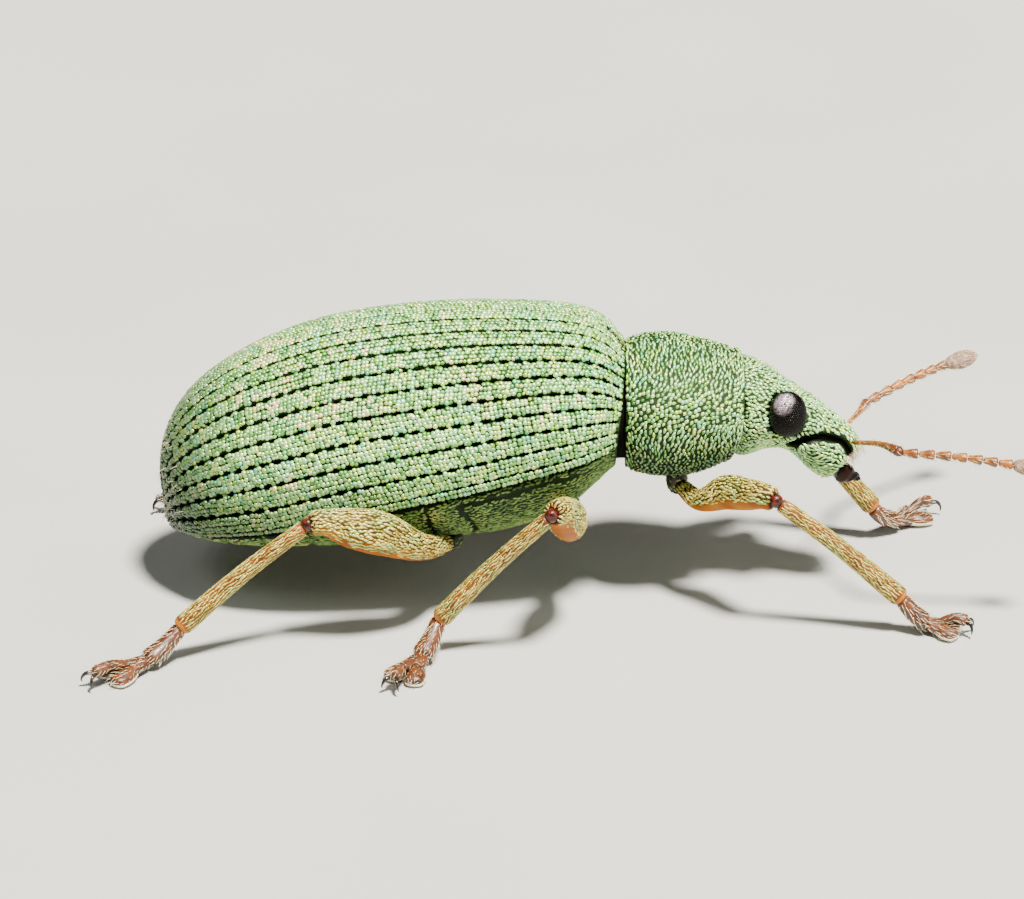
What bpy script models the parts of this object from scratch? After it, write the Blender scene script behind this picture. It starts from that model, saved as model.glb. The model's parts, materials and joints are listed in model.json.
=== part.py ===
"""A green leaf weevil at life size, standing still on its six feet.

The model is in metres with +X towards the head, +Y towards the animal's left side and +Z up. The origin
is on the floor under the middle of the animal. All sizes below are in millimetres, and every finished
mesh is scaled to metres once. The body is lofted from three lines seen from the side (top, widest and
belly) and one half width; wing covers, legs and feelers are all placed from the points of that body.
"""
import math

import bmesh
import bpy
from mathutils import Matrix, Vector

MM = 0.001
GAP = 0.05
UP = Vector((0.0, 0.0, 1.0))

# Hind body, from the wing-cover base to the tip. Each row is one section:
# top line x z, widest line x z, half width, belly line x z
HIND_SECTIONS = (
    (0.62, 3.02, 0.52, 2.25, 1.02, 0.50, 1.55),
    (0.42, 3.27, 0.36, 2.24, 1.20, 0.30, 1.35),
    (0.10, 3.42, 0.05, 2.17, 1.30, 0.00, 1.04),
    (-0.47, 3.485, -0.50, 2.05, 1.37, -0.50, 0.78),
    (-1.31, 3.495, -1.30, 1.86, 1.44, -1.30, 0.64),
    (-2.12, 3.43, -2.10, 1.68, 1.47, -2.10, 0.60),
    (-2.85, 3.30, -2.80, 1.50, 1.45, -2.75, 0.58),
    (-3.50, 3.08, -3.40, 1.30, 1.36, -3.30, 0.59),
    (-4.05, 2.79, -3.93, 1.15, 1.20, -3.80, 0.61),
    (-4.50, 2.42, -4.32, 1.03, 0.98, -4.20, 0.64),
    (-4.78, 1.97, -4.58, 0.93, 0.70, -4.48, 0.67),
    (-4.88, 1.45, -4.74, 0.84, 0.38, -4.66, 0.70),
    (-4.82, 0.76, -4.82, 0.76, 0.00, -4.82, 0.76),
)
BELLY_TUCK = 1.25
HEART_REAR_X = -3.75
HEART_LOW_Z = 1.30

# Wing covers: a thick shell from the seam to a margin just under the widest line, with ten striae
COVER_THICKNESS = 0.50
MARGIN_ANGLE = 1.70
STRIA_COUNT = 10
STRIA_STEP = 0.16
STRIA_HALF_WIDTH = 0.032
STRIA_DEPTH = 0.045
COVER_ROWS = 20
LINE_FADE_FRONT = 0.04
LINE_FADE_REAR = 0.12
SCUTELLUM_ANGLE = 0.11
SCUTELLUM_SHARE = 0.10
SCUTELLUM_HEIGHT = 0.4

# Belly plates: shares of the hind body's length where a seam crosses the belly
BELLY_SEAMS = (0.42, 0.54, 0.62, 0.70, 0.78)
SEAM_DEPTH = 0.05
SEAM_HALF_SHARE = 0.012
BODY_DEPTH = 0.03
BODY_TIP_DEPTH = 0.12
BODY_ROWS = 14
BODY_COLUMNS = 24
# The cut that makes room for the wing covers reaches this far in front of them and above them
ROOM_REACH = 0.3

# Prothorax and head sections, in the same order of numbers as the hind body
PROTHORAX_SECTIONS = (
    (0.68, 3.05, 0.68, 2.25, 0.86, 0.68, 1.50),
    (0.95, 3.10, 0.95, 2.24, 0.97, 0.95, 1.45),
    (1.21, 3.10, 1.21, 2.23, 0.98, 1.21, 1.44),
    (1.49, 3.05, 1.49, 2.21, 0.93, 1.47, 1.47),
    (1.76, 2.98, 1.76, 2.20, 0.85, 1.68, 1.54),
    (2.04, 2.89, 2.01, 2.21, 0.74, 1.86, 1.62),
)
HEAD_SECTIONS = (
    (2.09, 2.87, 2.08, 2.24, 0.61, 1.95, 1.58),
    (2.36, 2.72, 2.36, 2.20, 0.60, 2.34, 1.72),
    (2.64, 2.51, 2.62, 2.12, 0.53, 2.58, 1.70),
    (2.91, 2.35, 2.84, 1.97, 0.44, 2.74, 1.57),
    (3.13, 2.17, 3.01, 1.82, 0.38, 2.88, 1.44),
    (3.31, 2.02, 3.17, 1.72, 0.36, 3.00, 1.38),
    (3.42, 1.88, 3.22, 1.65, 0.37, 3.04, 1.38),
    (3.46, 1.78, 3.26, 1.61, 0.33, 3.09, 1.40),
)

# The head is rolled a little about its own length, its right side up
HEAD_ROLL = math.radians(17.0)
HEAD_AXIS_Z = 2.15
EYE_CENTRE = (2.565, 0.53, 2.20)
EYE_RADII = (0.235, 0.21, 0.29)
# The groove beside the snout, as shares of the head's length and angles from its top in degrees
SCROBE_COURSE = (
    (0.30, 142.0), (0.37, 120.0), (0.455, 98.0), (0.555, 79.0), (0.67, 66.0), (0.80, 62.0), (0.94, 67.0),
)
SCROBE_RADIUS = 0.055

MANDIBLE_ROOT = (3.23, 0.125, 1.485)
MANDIBLE_LENGTH = 0.20
MANDIBLE_HALF = 0.11
MANDIBLE_LIE = (0.72, 0.0, -0.69)
# The jaw's tip bends forward and up by this much
MANDIBLE_LIFT = (0.10, 0.0, 0.08)

# Feelers: insertion, elbow, the flagellum's course and the club's tip, for each side
FEELERS = {
    "right": {
        "root": (3.37, -0.44, 1.90),
        "elbow": (3.88, -1.18, 2.17),
        "bend": (4.55, -1.24, 2.14),
        "club": (5.18, -1.26, 2.05),
        "tip": (5.66, -1.28, 1.97),
    },
    "left": {
        "root": (3.255, 0.28, 1.81),
        "elbow": (3.60, 1.36, 1.66),
        "bend": (4.12, 1.82, 1.74),
        "club": (4.60, 2.20, 1.78),
        "tip": (5.00, 2.40, 1.82),
    },
}
SCAPE_START = 0.13
SCAPE_END = 0.19
FUNICLE_SEGMENTS = 7
FUNICLE_WAIST = 0.12
FUNICLE_WIDEST = 0.18
CLUB_RADIUS = 0.21

# Legs: coxa centre, a point that the femur bows through, knee, ankle and claw tip
LEGS = {
    "front_right": (
        (1.27, -0.38, 1.36), (1.85, -0.96, 1.55), (2.41, -1.50, 1.69),
        (3.92, -1.52, 0.42), (4.76, -1.63),
    ),
    "front_left": (
        (1.27, 0.38, 1.36), (1.90, 0.88, 1.52), (2.50, 1.04, 1.74),
        (3.71, 1.00, 0.40), (4.50, 1.75),
    ),
    "mid_right": (
        (0.00, -0.66, 1.13), (-0.02, -1.50, 1.45), (-0.23, -2.25, 1.86),
        (-1.55, -2.03, 0.40), (-2.11, -3.20),
    ),
    "mid_left": (
        (0.00, 0.66, 1.13), (-0.05, 1.45, 1.34), (-0.10, 2.15, 1.80),
        (-1.35, 2.12, 0.40), (-1.95, 3.20),
    ),
    "hind_right": (
        (-1.37, -0.80, 0.77), (-2.20, -1.74, 1.38), (-3.07, -1.95, 1.60),
        (-4.58, -2.25, 0.40), (-5.64, -3.06),
    ),
    "hind_left": (
        (-1.37, 0.80, 0.77), (-2.10, 1.76, 1.36), (-2.75, 2.10, 1.68),
        (-4.00, 1.62, 0.40), (-5.08, 1.76),
    ),
}
FEMUR_HALF = {"front": 0.23, "mid": 0.25, "hind": 0.28}
# Half width and half height of the thigh near its root, as shares of its widest
THIGH_ROOT = {"front": (0.70, 0.65), "mid": (0.70, 0.65), "hind": (0.60, 0.55)}
COXA_RADII = (0.20, 0.20, 0.24)
# How far outward and upward the thigh starts from the straight line between hip and bow
HIP_SHIFT = {"front": (0.11, -0.09), "mid": (0.11, -0.09), "hind": (0.31, 0.015)}
TROCHANTER_HALF = 0.15
KNEE_RADIUS = 0.19
# The thigh runs this far to the outer side of the knee, clear of the folded shin
KNEE_OFFSET = 0.08
TIBIA_START = 0.14
TIBIA_END = 0.19
ANKLE_RADIUS = 0.19
SOLE_SINK = 0.03

COLOURS = {
    "cover": (0.10, 0.36, 0.16, 0.35, 0.25),
    "body": (0.05, 0.16, 0.07, 0.50, 0.10),
    "scutellum": (0.02, 0.05, 0.03, 0.40, 0.10),
    "eye": (0.02, 0.01, 0.01, 0.15, 0.00),
    "mandible": (0.12, 0.03, 0.01, 0.30, 0.00),
    "feeler": (0.40, 0.16, 0.07, 0.45, 0.00),
    "leg": (0.60, 0.30, 0.10, 0.45, 0.00),
    "foot": (0.36, 0.17, 0.10, 0.50, 0.00),
}


def clear_scene():
    for thing in list(bpy.data.objects):
        bpy.data.objects.remove(thing)


def new_collection(name):
    group = bpy.data.collections.new(name)
    bpy.context.scene.collection.children.link(group)
    return group


def material(name):
    red, green, blue, roughness, metallic = COLOURS[name]
    made = bpy.data.materials.new(name)
    made.use_nodes = True
    shader = made.node_tree.nodes["Principled BSDF"]
    shader.inputs["Base Color"].default_value = (red, green, blue, 1.0)
    shader.inputs["Roughness"].default_value = roughness
    shader.inputs["Metallic"].default_value = metallic
    return made


def spline(rows, share):
    """Row of numbers at a share from 0 to 1 along a smooth curve through the given rows."""
    place = min(max(share, 0.0), 1.0) * (len(rows) - 1)
    index = min(int(place), len(rows) - 2)
    t = place - index
    start = rows[index]
    end = rows[index + 1]
    before = rows[index - 1] if index > 0 else [2 * a - b for a, b in zip(start, end)]
    after = rows[index + 2] if index + 2 < len(rows) else [2 * b - a for a, b in zip(start, end)]
    return [
        b + 0.5 * t * (c - a + t * (2 * a - 5 * b + 4 * c - d + t * (3 * (b - c) + d - a)))
        for a, b, c, d in zip(before, start, end, after)
    ]


def section_point(sections, share, angle, tuck=1.0):
    """Point of a lofted body. Angle 0 is its top, a quarter turn its side, a half turn its belly."""
    top_x, top_z, mid_x, mid_z, half, low_x, low_z = spline(sections, share)
    rise = math.cos(angle)
    reach = math.sin(angle)
    end_x, end_z = (top_x, top_z) if rise >= 0 else (low_x, low_z)
    power = 1.0 if rise >= 0 else tuck
    side = math.copysign(abs(reach) ** power, reach) * max(half, 0.0)
    return Vector((mid_x + (end_x - mid_x) * abs(rise), side, mid_z + (end_z - mid_z) * abs(rise)))


def hind_point(share, angle, depth=0.0):
    """Point of the hind body, sunk by a depth towards the line that runs inside it."""
    point = section_point(HIND_SECTIONS, share, angle, BELLY_TUCK)
    middle = spline(HIND_SECTIONS, share)
    heart = Vector((max(middle[2], HEART_REAR_X), 0.0, max(middle[3], HEART_LOW_Z)))
    inward = heart - point
    return point + inward.normalized() * depth


def new_mesh_object(name, corners, faces, group):
    mesh = bpy.data.meshes.new(name)
    mesh.from_pydata([tuple(corner) for corner in corners], [], faces)
    shape = bmesh.new()
    shape.from_mesh(mesh)
    bmesh.ops.recalc_face_normals(shape, faces=shape.faces)
    shape.to_mesh(mesh)
    shape.free()
    thing = bpy.data.objects.new(name, mesh)
    group.objects.link(thing)
    return thing


def closed_loft(name, rings, start, end, group):
    """A closed tube through rings of equal count, with a point in the middle of each end."""
    count = len(rings[0])
    corners = [point for ring in rings for point in ring] + [start, end]
    faces = []
    for row in range(len(rings) - 1):
        for column in range(count):
            after = (column + 1) % count
            faces.append((row * count + column, row * count + after,
                          (row + 1) * count + after, (row + 1) * count + column))
    last = (len(rings) - 1) * count
    for column in range(count):
        after = (column + 1) % count
        faces.append((len(corners) - 2, after, column))
        faces.append((len(corners) - 1, last + column, last + after))
    return new_mesh_object(name, corners, faces, group)


def limb(name, stations, group, sides=10, steps=8, cup=0.0, ball=True):
    """A tube through stations of x, y, z, half width and half height.

    With a cup, it starts hollowed to sit around a ball of that radius at its first station.
    It ends in a round ball, or flat.
    """
    rows = [spline(stations, step / steps) for step in range(steps + 1)]
    rings = []
    first = Vector(rows[0][:3])
    start_centre = first
    for index, row in enumerate(rows):
        centre = Vector(row[:3])
        ahead = Vector(rows[min(index + 1, steps)][:3])
        behind = Vector(rows[max(index - 1, 0)][:3])
        along = (ahead - behind).normalized()
        across = along.cross(UP).normalized()
        upward = across.cross(along)
        spokes = [across * math.cos(math.tau * k / sides) * row[3]
                  + upward * math.sin(math.tau * k / sides) * row[4] for k in range(sides)]
        if cup and index == 0:
            for share in (0.5, 1.0):
                rings.append([first + along * math.sqrt(cup * cup - (spoke * share).length_squared)
                              + spoke * share for spoke in spokes])
            start_centre = first + along * cup
            continue
        if cup and (centre - first).length < cup * 1.15:
            continue
        rings.append([centre + spoke for spoke in spokes])
        if index == steps and ball:
            reach = min(row[3], row[4])
            for turn in (math.pi / 6, math.pi / 3):
                bulge = centre + along * reach * math.sin(turn)
                rings.append([bulge + spoke * math.cos(turn) for spoke in spokes])
            end_centre = centre + along * reach
        elif index == steps:
            end_centre = centre
    return closed_loft(name, rings, start_centre, end_centre, group)


def ellipsoid(name, centre, radii, group, columns=12, rows=8):
    mesh = bpy.data.meshes.new(name)
    shape = bmesh.new()
    bmesh.ops.create_uvsphere(shape, u_segments=columns, v_segments=rows, radius=1.0)
    for corner in shape.verts:
        corner.co = Vector([c + r * k for c, r, k in zip(centre, radii, corner.co)])
    shape.to_mesh(mesh)
    shape.free()
    thing = bpy.data.objects.new(name, mesh)
    group.objects.link(thing)
    return thing


def keep_largest(shape):
    """Leaves only the closed surface with the most faces."""
    left = set(shape.faces)
    islands = []
    while left:
        seed = left.pop()
        island = {seed}
        front = [seed]
        while front:
            face = front.pop()
            for edge in face.edges:
                for neighbour in edge.link_faces:
                    if neighbour in left:
                        left.discard(neighbour)
                        island.add(neighbour)
                        front.append(neighbour)
        islands.append(island)
    islands.sort(key=len)
    for island in islands[:-1]:
        bmesh.ops.delete(shape, geom=list(island), context="FACES")


def combine(base, others, operation):
    """Joins other closed meshes to the base, or cuts them from it, and removes them."""
    tools = bpy.data.collections.new(base.name + "_tools")
    for other in others:
        other.hide_render = True
        other.display_type = "WIRE"
        tools.objects.link(other)
    change = base.modifiers.new(operation.lower(), "BOOLEAN")
    change.operand_type = "COLLECTION"
    change.collection = tools
    change.operation = operation
    change.solver = "EXACT"
    bpy.context.view_layer.update()
    graph = bpy.context.evaluated_depsgraph_get()
    mesh = bpy.data.meshes.new_from_object(base.evaluated_get(graph))
    base.modifiers.clear()
    base.data = mesh
    for other in others:
        bpy.data.objects.remove(other)
    bpy.data.collections.remove(tools)
    shape = bmesh.new()
    shape.from_mesh(mesh)
    bmesh.ops.remove_doubles(shape, verts=shape.verts, dist=0.0005)
    bmesh.ops.dissolve_degenerate(shape, edges=shape.edges, dist=0.0005)
    keep_largest(shape)
    bmesh.ops.triangulate(shape, faces=[face for face in shape.faces if len(face.verts) > 4])
    bmesh.ops.recalc_face_normals(shape, faces=shape.faces)
    shape.to_mesh(mesh)
    shape.free()
    return base


def cut_flat_at_floor(thing):
    """Slices away what is under the floor, so that the foot stands on a flat."""
    shape = bmesh.new()
    shape.from_mesh(thing.data)
    parts = shape.verts[:] + shape.edges[:] + shape.faces[:]
    cut = bmesh.ops.bisect_plane(shape, geom=parts, dist=1e-6, plane_co=(0, 0, 0), plane_no=(0, 0, 1),
                                 clear_inner=True)
    rim = [item for item in cut["geom_cut"] if isinstance(item, bmesh.types.BMEdge)]
    bmesh.ops.holes_fill(shape, edges=rim, sides=0)
    bmesh.ops.triangulate(shape, faces=[face for face in shape.faces if len(face.verts) > 4])
    bmesh.ops.recalc_face_normals(shape, faces=shape.faces)
    shape.to_mesh(thing.data)
    shape.free()


def finish(thing, look, root, parts):
    """Scales a mesh from millimetres to metres, gives it its material and puts it among the parts."""
    for corner in thing.data.vertices:
        corner.co = corner.co * MM
    thing.data.materials.clear()
    thing.data.materials.append(look)
    thing.data.shade_smooth()
    thing.data.set_sharp_from_angle(angle=math.radians(50))
    thing.parent = root
    for group in list(thing.users_collection):
        group.objects.unlink(thing)
    parts.objects.link(thing)


def zip_rows(near, near_shares, far, far_shares):
    """Triangles between two rows of corners whose counts differ, paired by their shares."""
    faces = []
    i = 0
    j = 0
    while i < len(near) - 1 or j < len(far) - 1:
        step_near = j == len(far) - 1 or (i < len(near) - 1 and near_shares[i + 1] <= far_shares[j + 1])
        if step_near:
            faces.append((near[i], near[i + 1], far[j]))
            i += 1
        else:
            faces.append((near[i], far[j + 1], far[j]))
            j += 1
    return faces


def cover_shell(name, angles, inner_angles, outer_depth, inner_depth, group, base_push=0.0):
    """A closed shell over the hind body between two depths, with its pole at the rear tip."""
    corners = []
    lines = [(row / COVER_ROWS, 0.0) for row in range(COVER_ROWS)]
    if base_push:
        lines.insert(0, (0.0, base_push))
    rows = len(lines)

    def grid(angle_list, depth_of):
        first = len(corners)
        for share, push in lines:
            for angle in angle_list(share):
                corners.append(hind_point(share, angle, depth_of(share, angle)) + Vector((push, 0.0, 0.0)))
        return first

    outer = grid(angles, outer_depth)
    inner = grid(inner_angles, lambda share, angle: inner_depth)
    wide = len(angles(0.0))
    narrow = len(inner_angles(0.0))
    corners.append(hind_point(1.0, 0.0, outer_depth(1.0, 0.0)))
    corners.append(hind_point(1.0, 0.0, inner_depth))
    outer_pole = len(corners) - 2
    inner_pole = len(corners) - 1
    faces = []
    for first, count, pole in ((outer, wide, outer_pole), (inner, narrow, inner_pole)):
        for row in range(rows - 1):
            for column in range(count - 1):
                a = first + row * count + column
                faces.append((a, a + 1, a + 1 + count, a + count))
        last = first + (rows - 1) * count
        for column in range(count - 1):
            faces.append((last + column, last + column + 1, pole))
    for outer_column, inner_column in ((0, 0), (wide - 1, narrow - 1)):
        for row in range(rows):
            a = outer + row * wide + outer_column
            b = inner + row * narrow + inner_column
            if row == rows - 1:
                faces.append((a, b, inner_pole, outer_pole))
            else:
                faces.append((a, b, b + narrow, a + wide))
    span = abs(angles(0.0)[-1] - angles(0.0)[0])
    shares = [abs(angle - angles(0.0)[0]) / span for angle in angles(0.0)]
    inner_shares = [abs(angle - angles(0.0)[0]) / span for angle in inner_angles(0.0)]
    outer_row = list(range(outer, outer + wide))
    inner_row = list(range(inner, inner + narrow))
    faces += zip_rows(outer_row, shares, inner_row, inner_shares)
    return new_mesh_object(name, corners, faces, group)


def seam_angle(share):
    """Angle of the cover's inner edge, which opens at the base for the scutellum."""
    return SCUTELLUM_ANGLE * max(0.0, 1.0 - share / SCUTELLUM_SHARE)


def stria_depth(share, angle):
    nearest = min(max(round(abs(angle) / STRIA_STEP), 1), STRIA_COUNT) * STRIA_STEP
    on_line = abs(abs(angle) - nearest) < STRIA_HALF_WIDTH / 2
    fade = min(1.0, share / LINE_FADE_FRONT, (1.0 - share) / LINE_FADE_REAR)
    return STRIA_DEPTH * max(fade, 0.0) if on_line else 0.0


def build_cover(side, sign, shop):
    def angles(share):
        row = [seam_angle(share)]
        for number in range(1, STRIA_COUNT + 1):
            line = number * STRIA_STEP
            row += [line - STRIA_HALF_WIDTH, line, line + STRIA_HALF_WIDTH]
        return [sign * angle for angle in row + [MARGIN_ANGLE]]

    def inner_angles(share):
        start = seam_angle(share)
        return [sign * (start + (MARGIN_ANGLE - start) * k / 7) for k in range(8)]

    cover = cover_shell("elytron_" + side, angles, inner_angles, stria_depth, COVER_THICKNESS, shop)
    for corner in cover.data.vertices:
        corner.co.y += sign * GAP / 2
    return cover


def build_hind_body(shop):
    shares = [row / BODY_ROWS for row in range(BODY_ROWS)]
    for seam in BELLY_SEAMS:
        shares += [seam - SEAM_HALF_SHARE, seam, seam + SEAM_HALF_SHARE]
    shares.sort()
    rings = []
    for share in shares:
        ring = []
        for column in range(BODY_COLUMNS):
            angle = math.pi - math.tau * column / BODY_COLUMNS
            depth = BODY_DEPTH + BODY_TIP_DEPTH * share ** 8
            if share in BELLY_SEAMS and abs(angle) > MARGIN_ANGLE:
                depth += SEAM_DEPTH
            ring.append(hind_point(share, angle, depth))
        rings.append(ring)
    front = sum(rings[0], Vector()) / BODY_COLUMNS
    body = closed_loft("hindbody", rings, front, hind_point(1.0, 0.0, BODY_DEPTH + BODY_TIP_DEPTH), shop)
    reach = MARGIN_ANGLE + 0.03

    def both(share):
        return [reach * (k / 7 - 1) for k in range(15)]

    def above(share, angle):
        return -ROOM_REACH

    room = cover_shell("cover_room", both, both, above, COVER_THICKNESS + GAP, shop, ROOM_REACH)
    for corner in room.data.vertices:
        corner.co.z -= GAP
    combine(body, [room], "DIFFERENCE")
    rear_legs = [leg for leg in LEGS if not leg.startswith("front")]
    coxae = [ellipsoid("coxa", LEGS[leg][0], COXA_RADII, shop) for leg in rear_legs]
    return combine(body, coxae, "UNION")


def loft_sections(name, sections, shop, rows, count=24):
    rings = [[section_point(sections, row / rows, math.tau * column / count) for column in range(count)]
             for row in range(rows + 1)]
    start = sum(rings[0], Vector()) / count
    end = sum(rings[-1], Vector()) / count
    return closed_loft(name, rings, start, end, shop)


def build_prothorax(shop):
    barrel = loft_sections("prothorax", PROTHORAX_SECTIONS, shop, 9)
    coxae = [ellipsoid("coxa", LEGS[leg][0], COXA_RADII, shop) for leg in LEGS if leg.startswith("front")]
    return combine(barrel, coxae, "UNION")


def build_scutellum(shop):
    front = hind_point(0.004, 0.0, 0.0)
    tip = hind_point(SCUTELLUM_SHARE * 0.6, 0.0, 0.0)
    half = 1.15 * SCUTELLUM_ANGLE - GAP
    drop = Vector((0.0, 0.0, -SCUTELLUM_HEIGHT))
    top = [
        front + Vector((0.0, half, -0.03)),
        front + Vector((0.0, -half, -0.03)),
        tip + Vector((0.0, -0.015, -0.02)),
        tip + Vector((0.0, 0.015, -0.02)),
    ]
    rings = [top, [point + drop for point in top]]
    middle = sum(top, Vector()) / len(top)
    return closed_loft("scutellum", rings, middle, middle + drop, shop)


def mirror_y(point, sign):
    return Vector((point[0], point[1] * sign, point[2]))


def roll_head(thing):
    """Turns a piece of the head about the head's own length."""
    axis = Vector((0.0, 0.0, HEAD_AXIS_Z))
    turn = Matrix.Translation(axis) @ Matrix.Rotation(-HEAD_ROLL, 4, "X") @ Matrix.Translation(-axis)
    thing.data.transform(turn)
    return thing


def build_head(shop):
    head = loft_sections("head", HEAD_SECTIONS, shop, 14)
    cutters = []
    socket = [radius + GAP for radius in EYE_RADII]
    for sign in (1, -1):
        cutters.append(ellipsoid("socket", mirror_y(EYE_CENTRE, sign), socket, shop))
        path = []
        for share, turn in SCROBE_COURSE:
            point = section_point(HEAD_SECTIONS, share, sign * math.radians(turn))
            path.append(tuple(point) + (SCROBE_RADIUS, SCROBE_RADIUS))
        cutters.append(limb("scrobe", path, shop, sides=8, steps=9))
    return roll_head(combine(head, cutters, "DIFFERENCE"))


def build_mandible(side, sign, shop):
    """One jaw: a short curved wedge out of the mouth, bending to the middle."""
    root = mirror_y(MANDIBLE_ROOT, sign)
    reach = Vector(MANDIBLE_LIE) * MANDIBLE_LENGTH
    lift = Vector(MANDIBLE_LIFT)
    stations = [
        tuple(root) + (MANDIBLE_HALF * 0.9, MANDIBLE_HALF * 1.5),
        tuple(root + reach * 0.4) + (MANDIBLE_HALF * 0.85, MANDIBLE_HALF * 1.3),
        tuple(root + reach * 0.8 + lift * 0.4 - Vector((0, sign * 0.02, 0))) + (0.07, 0.09),
        tuple(root + reach + lift - Vector((0, sign * 0.03, 0))) + (0.04, 0.05),
    ]
    return roll_head(limb("mandible_" + side, stations, shop, sides=8, steps=4))


def build_feeler(side, shop):
    course = {name: Vector(point) for name, point in FEELERS[side].items()}
    root = course["root"]
    elbow = course["elbow"]
    club = course["club"]
    middle = (root + elbow) / 2 + Vector((0.05, 0.0, 0.04))
    scape = limb("scape_" + side, [
        tuple(root) + (SCAPE_START, SCAPE_START),
        tuple(middle) + (SCAPE_START * 1.1, SCAPE_START * 1.1),
        tuple(elbow) + (SCAPE_END, SCAPE_END),
    ], shop, sides=8, steps=6)
    line = [tuple(elbow), tuple(course["bend"]), tuple(club)]
    stations = [tuple(elbow) + (FUNICLE_WAIST, FUNICLE_WAIST)]
    begin = (SCAPE_END + GAP) / (club - elbow).length
    for number in range(FUNICLE_SEGMENTS):
        low = begin + (1 - begin) * number / FUNICLE_SEGMENTS
        step = (1 - begin) / FUNICLE_SEGMENTS
        for share, half in ((0.12, FUNICLE_WAIST), (0.55, FUNICLE_WIDEST * 0.92), (0.85, FUNICLE_WIDEST)):
            stations.append(tuple(spline(line, low + step * share)) + (half, half))
    stations[-1] = tuple(club) + (FUNICLE_WAIST, FUNICLE_WAIST)
    funicle = limb("funicle_" + side, stations, shop, sides=8, steps=len(stations) - 1, cup=SCAPE_END + GAP)
    tip = course["tip"]
    swell = [
        (0.0, 0.10), (0.3, CLUB_RADIUS * 0.9), (0.55, CLUB_RADIUS), (0.8, CLUB_RADIUS * 0.75), (1.0, 0.07),
    ]
    club_stations = [tuple(club + (tip - club) * share) + (half, half) for share, half in swell]
    end = limb("club_" + side, club_stations, shop, sides=8, steps=7, cup=FUNICLE_WAIST + GAP)
    return scape, funicle, end


def build_leg(name, shop):
    coxa, bow, knee, ankle, claw = LEGS[name]
    pair = name.split("_")[0]
    half = FEMUR_HALF[pair]
    coxa = Vector(coxa)
    bow = Vector(bow)
    knee = Vector(knee)
    ankle = Vector(ankle)
    outward = math.copysign(1.0, coxa.y)
    away = (knee - ankle).normalized() * KNEE_OFFSET
    aside, rise = HIP_SHIFT[pair]
    root_wide, root_high = THIGH_ROOT[pair]
    start = coxa.lerp(bow, 0.45) + Vector((0.0, outward * aside, rise))
    femur = limb("femur_" + name, [
        tuple(coxa) + (TROCHANTER_HALF, TROCHANTER_HALF),
        tuple(start) + (half * root_wide, half * root_high),
        tuple(bow) + (half * 0.95, half),
        tuple(bow.lerp(knee, 0.45) + away * 0.5) + (half * 0.85, half * 0.9),
        tuple(bow.lerp(knee, 0.8) + away) + (KNEE_RADIUS * 0.9, KNEE_RADIUS * 0.9),
        tuple(knee) + (KNEE_RADIUS, KNEE_RADIUS),
    ], shop, steps=10, cup=COXA_RADII[0] + GAP)
    shin = knee.lerp(ankle, 0.5) + Vector((0.0, 0.0, 0.04))
    tibia = limb("tibia_" + name, [
        tuple(knee) + (TIBIA_START, TIBIA_START),
        tuple(shin) + (TIBIA_START * 1.12, TIBIA_START * 1.12),
        tuple(ankle) + (TIBIA_END, TIBIA_END),
    ], shop, steps=7, cup=KNEE_RADIUS + GAP)
    return femur, tibia, build_foot("tarsus_" + name, ankle, claw, shop)


def build_foot(name, ankle, claw, shop):
    """Four tarsal segments on the floor: two cones, a two-lobed pad and the claw segment with its claws."""
    ahead = Vector((claw[0] - ankle.x, claw[1] - ankle.y, 0.0))
    length = ahead.length
    ahead = ahead.normalized()
    aside = Vector((-ahead.y, ahead.x, 0.0))

    def at(share, sideways, height, wide, high):
        point = Vector((ankle.x, ankle.y, 0.0)) + ahead * length * share + aside * sideways
        return (point.x, point.y, height, wide, high)

    first = limb(name, [
        at(0.0, 0.0, ankle.z, 0.15, 0.15),
        at(0.18, 0.0, ankle.z * 0.62, 0.17, 0.16),
        at(0.36, 0.0, 0.15, 0.21, 0.15 + SOLE_SINK),
    ], shop, sides=10, steps=4, cup=ANKLE_RADIUS + GAP)
    pieces = [limb("second", [
        at(0.34, 0.0, 0.16, 0.16, 0.13),
        at(0.58, 0.0, 0.13, 0.23, 0.13 + SOLE_SINK),
    ], shop, sides=8, steps=1)]
    for sign in (1, -1):
        pieces.append(limb("lobe", [
            at(0.50, sign * 0.06, 0.13, 0.12, 0.12),
            at(0.66, sign * 0.13, 0.11, 0.15, 0.11 + SOLE_SINK),
            at(0.78, sign * 0.17, 0.09, 0.12, 0.09 + SOLE_SINK),
        ], shop, sides=8, steps=2))
        pieces.append(limb("claw", [
            at(0.88, sign * 0.05, 0.18, 0.06, 0.06),
            at(0.96, sign * 0.11, 0.15, 0.05, 0.05),
            at(1.0, sign * 0.13, 0.05, 0.03, 0.03),
        ], shop, sides=6, steps=2))
    pieces.append(limb("claw_segment", [
        at(0.52, 0.0, 0.18, 0.10, 0.10),
        at(0.72, 0.0, 0.23, 0.11, 0.11),
        at(0.90, 0.0, 0.19, 0.12, 0.12),
    ], shop, sides=8, steps=3))
    foot = combine(first, pieces, "UNION")
    cut_flat_at_floor(foot)
    return foot


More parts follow.
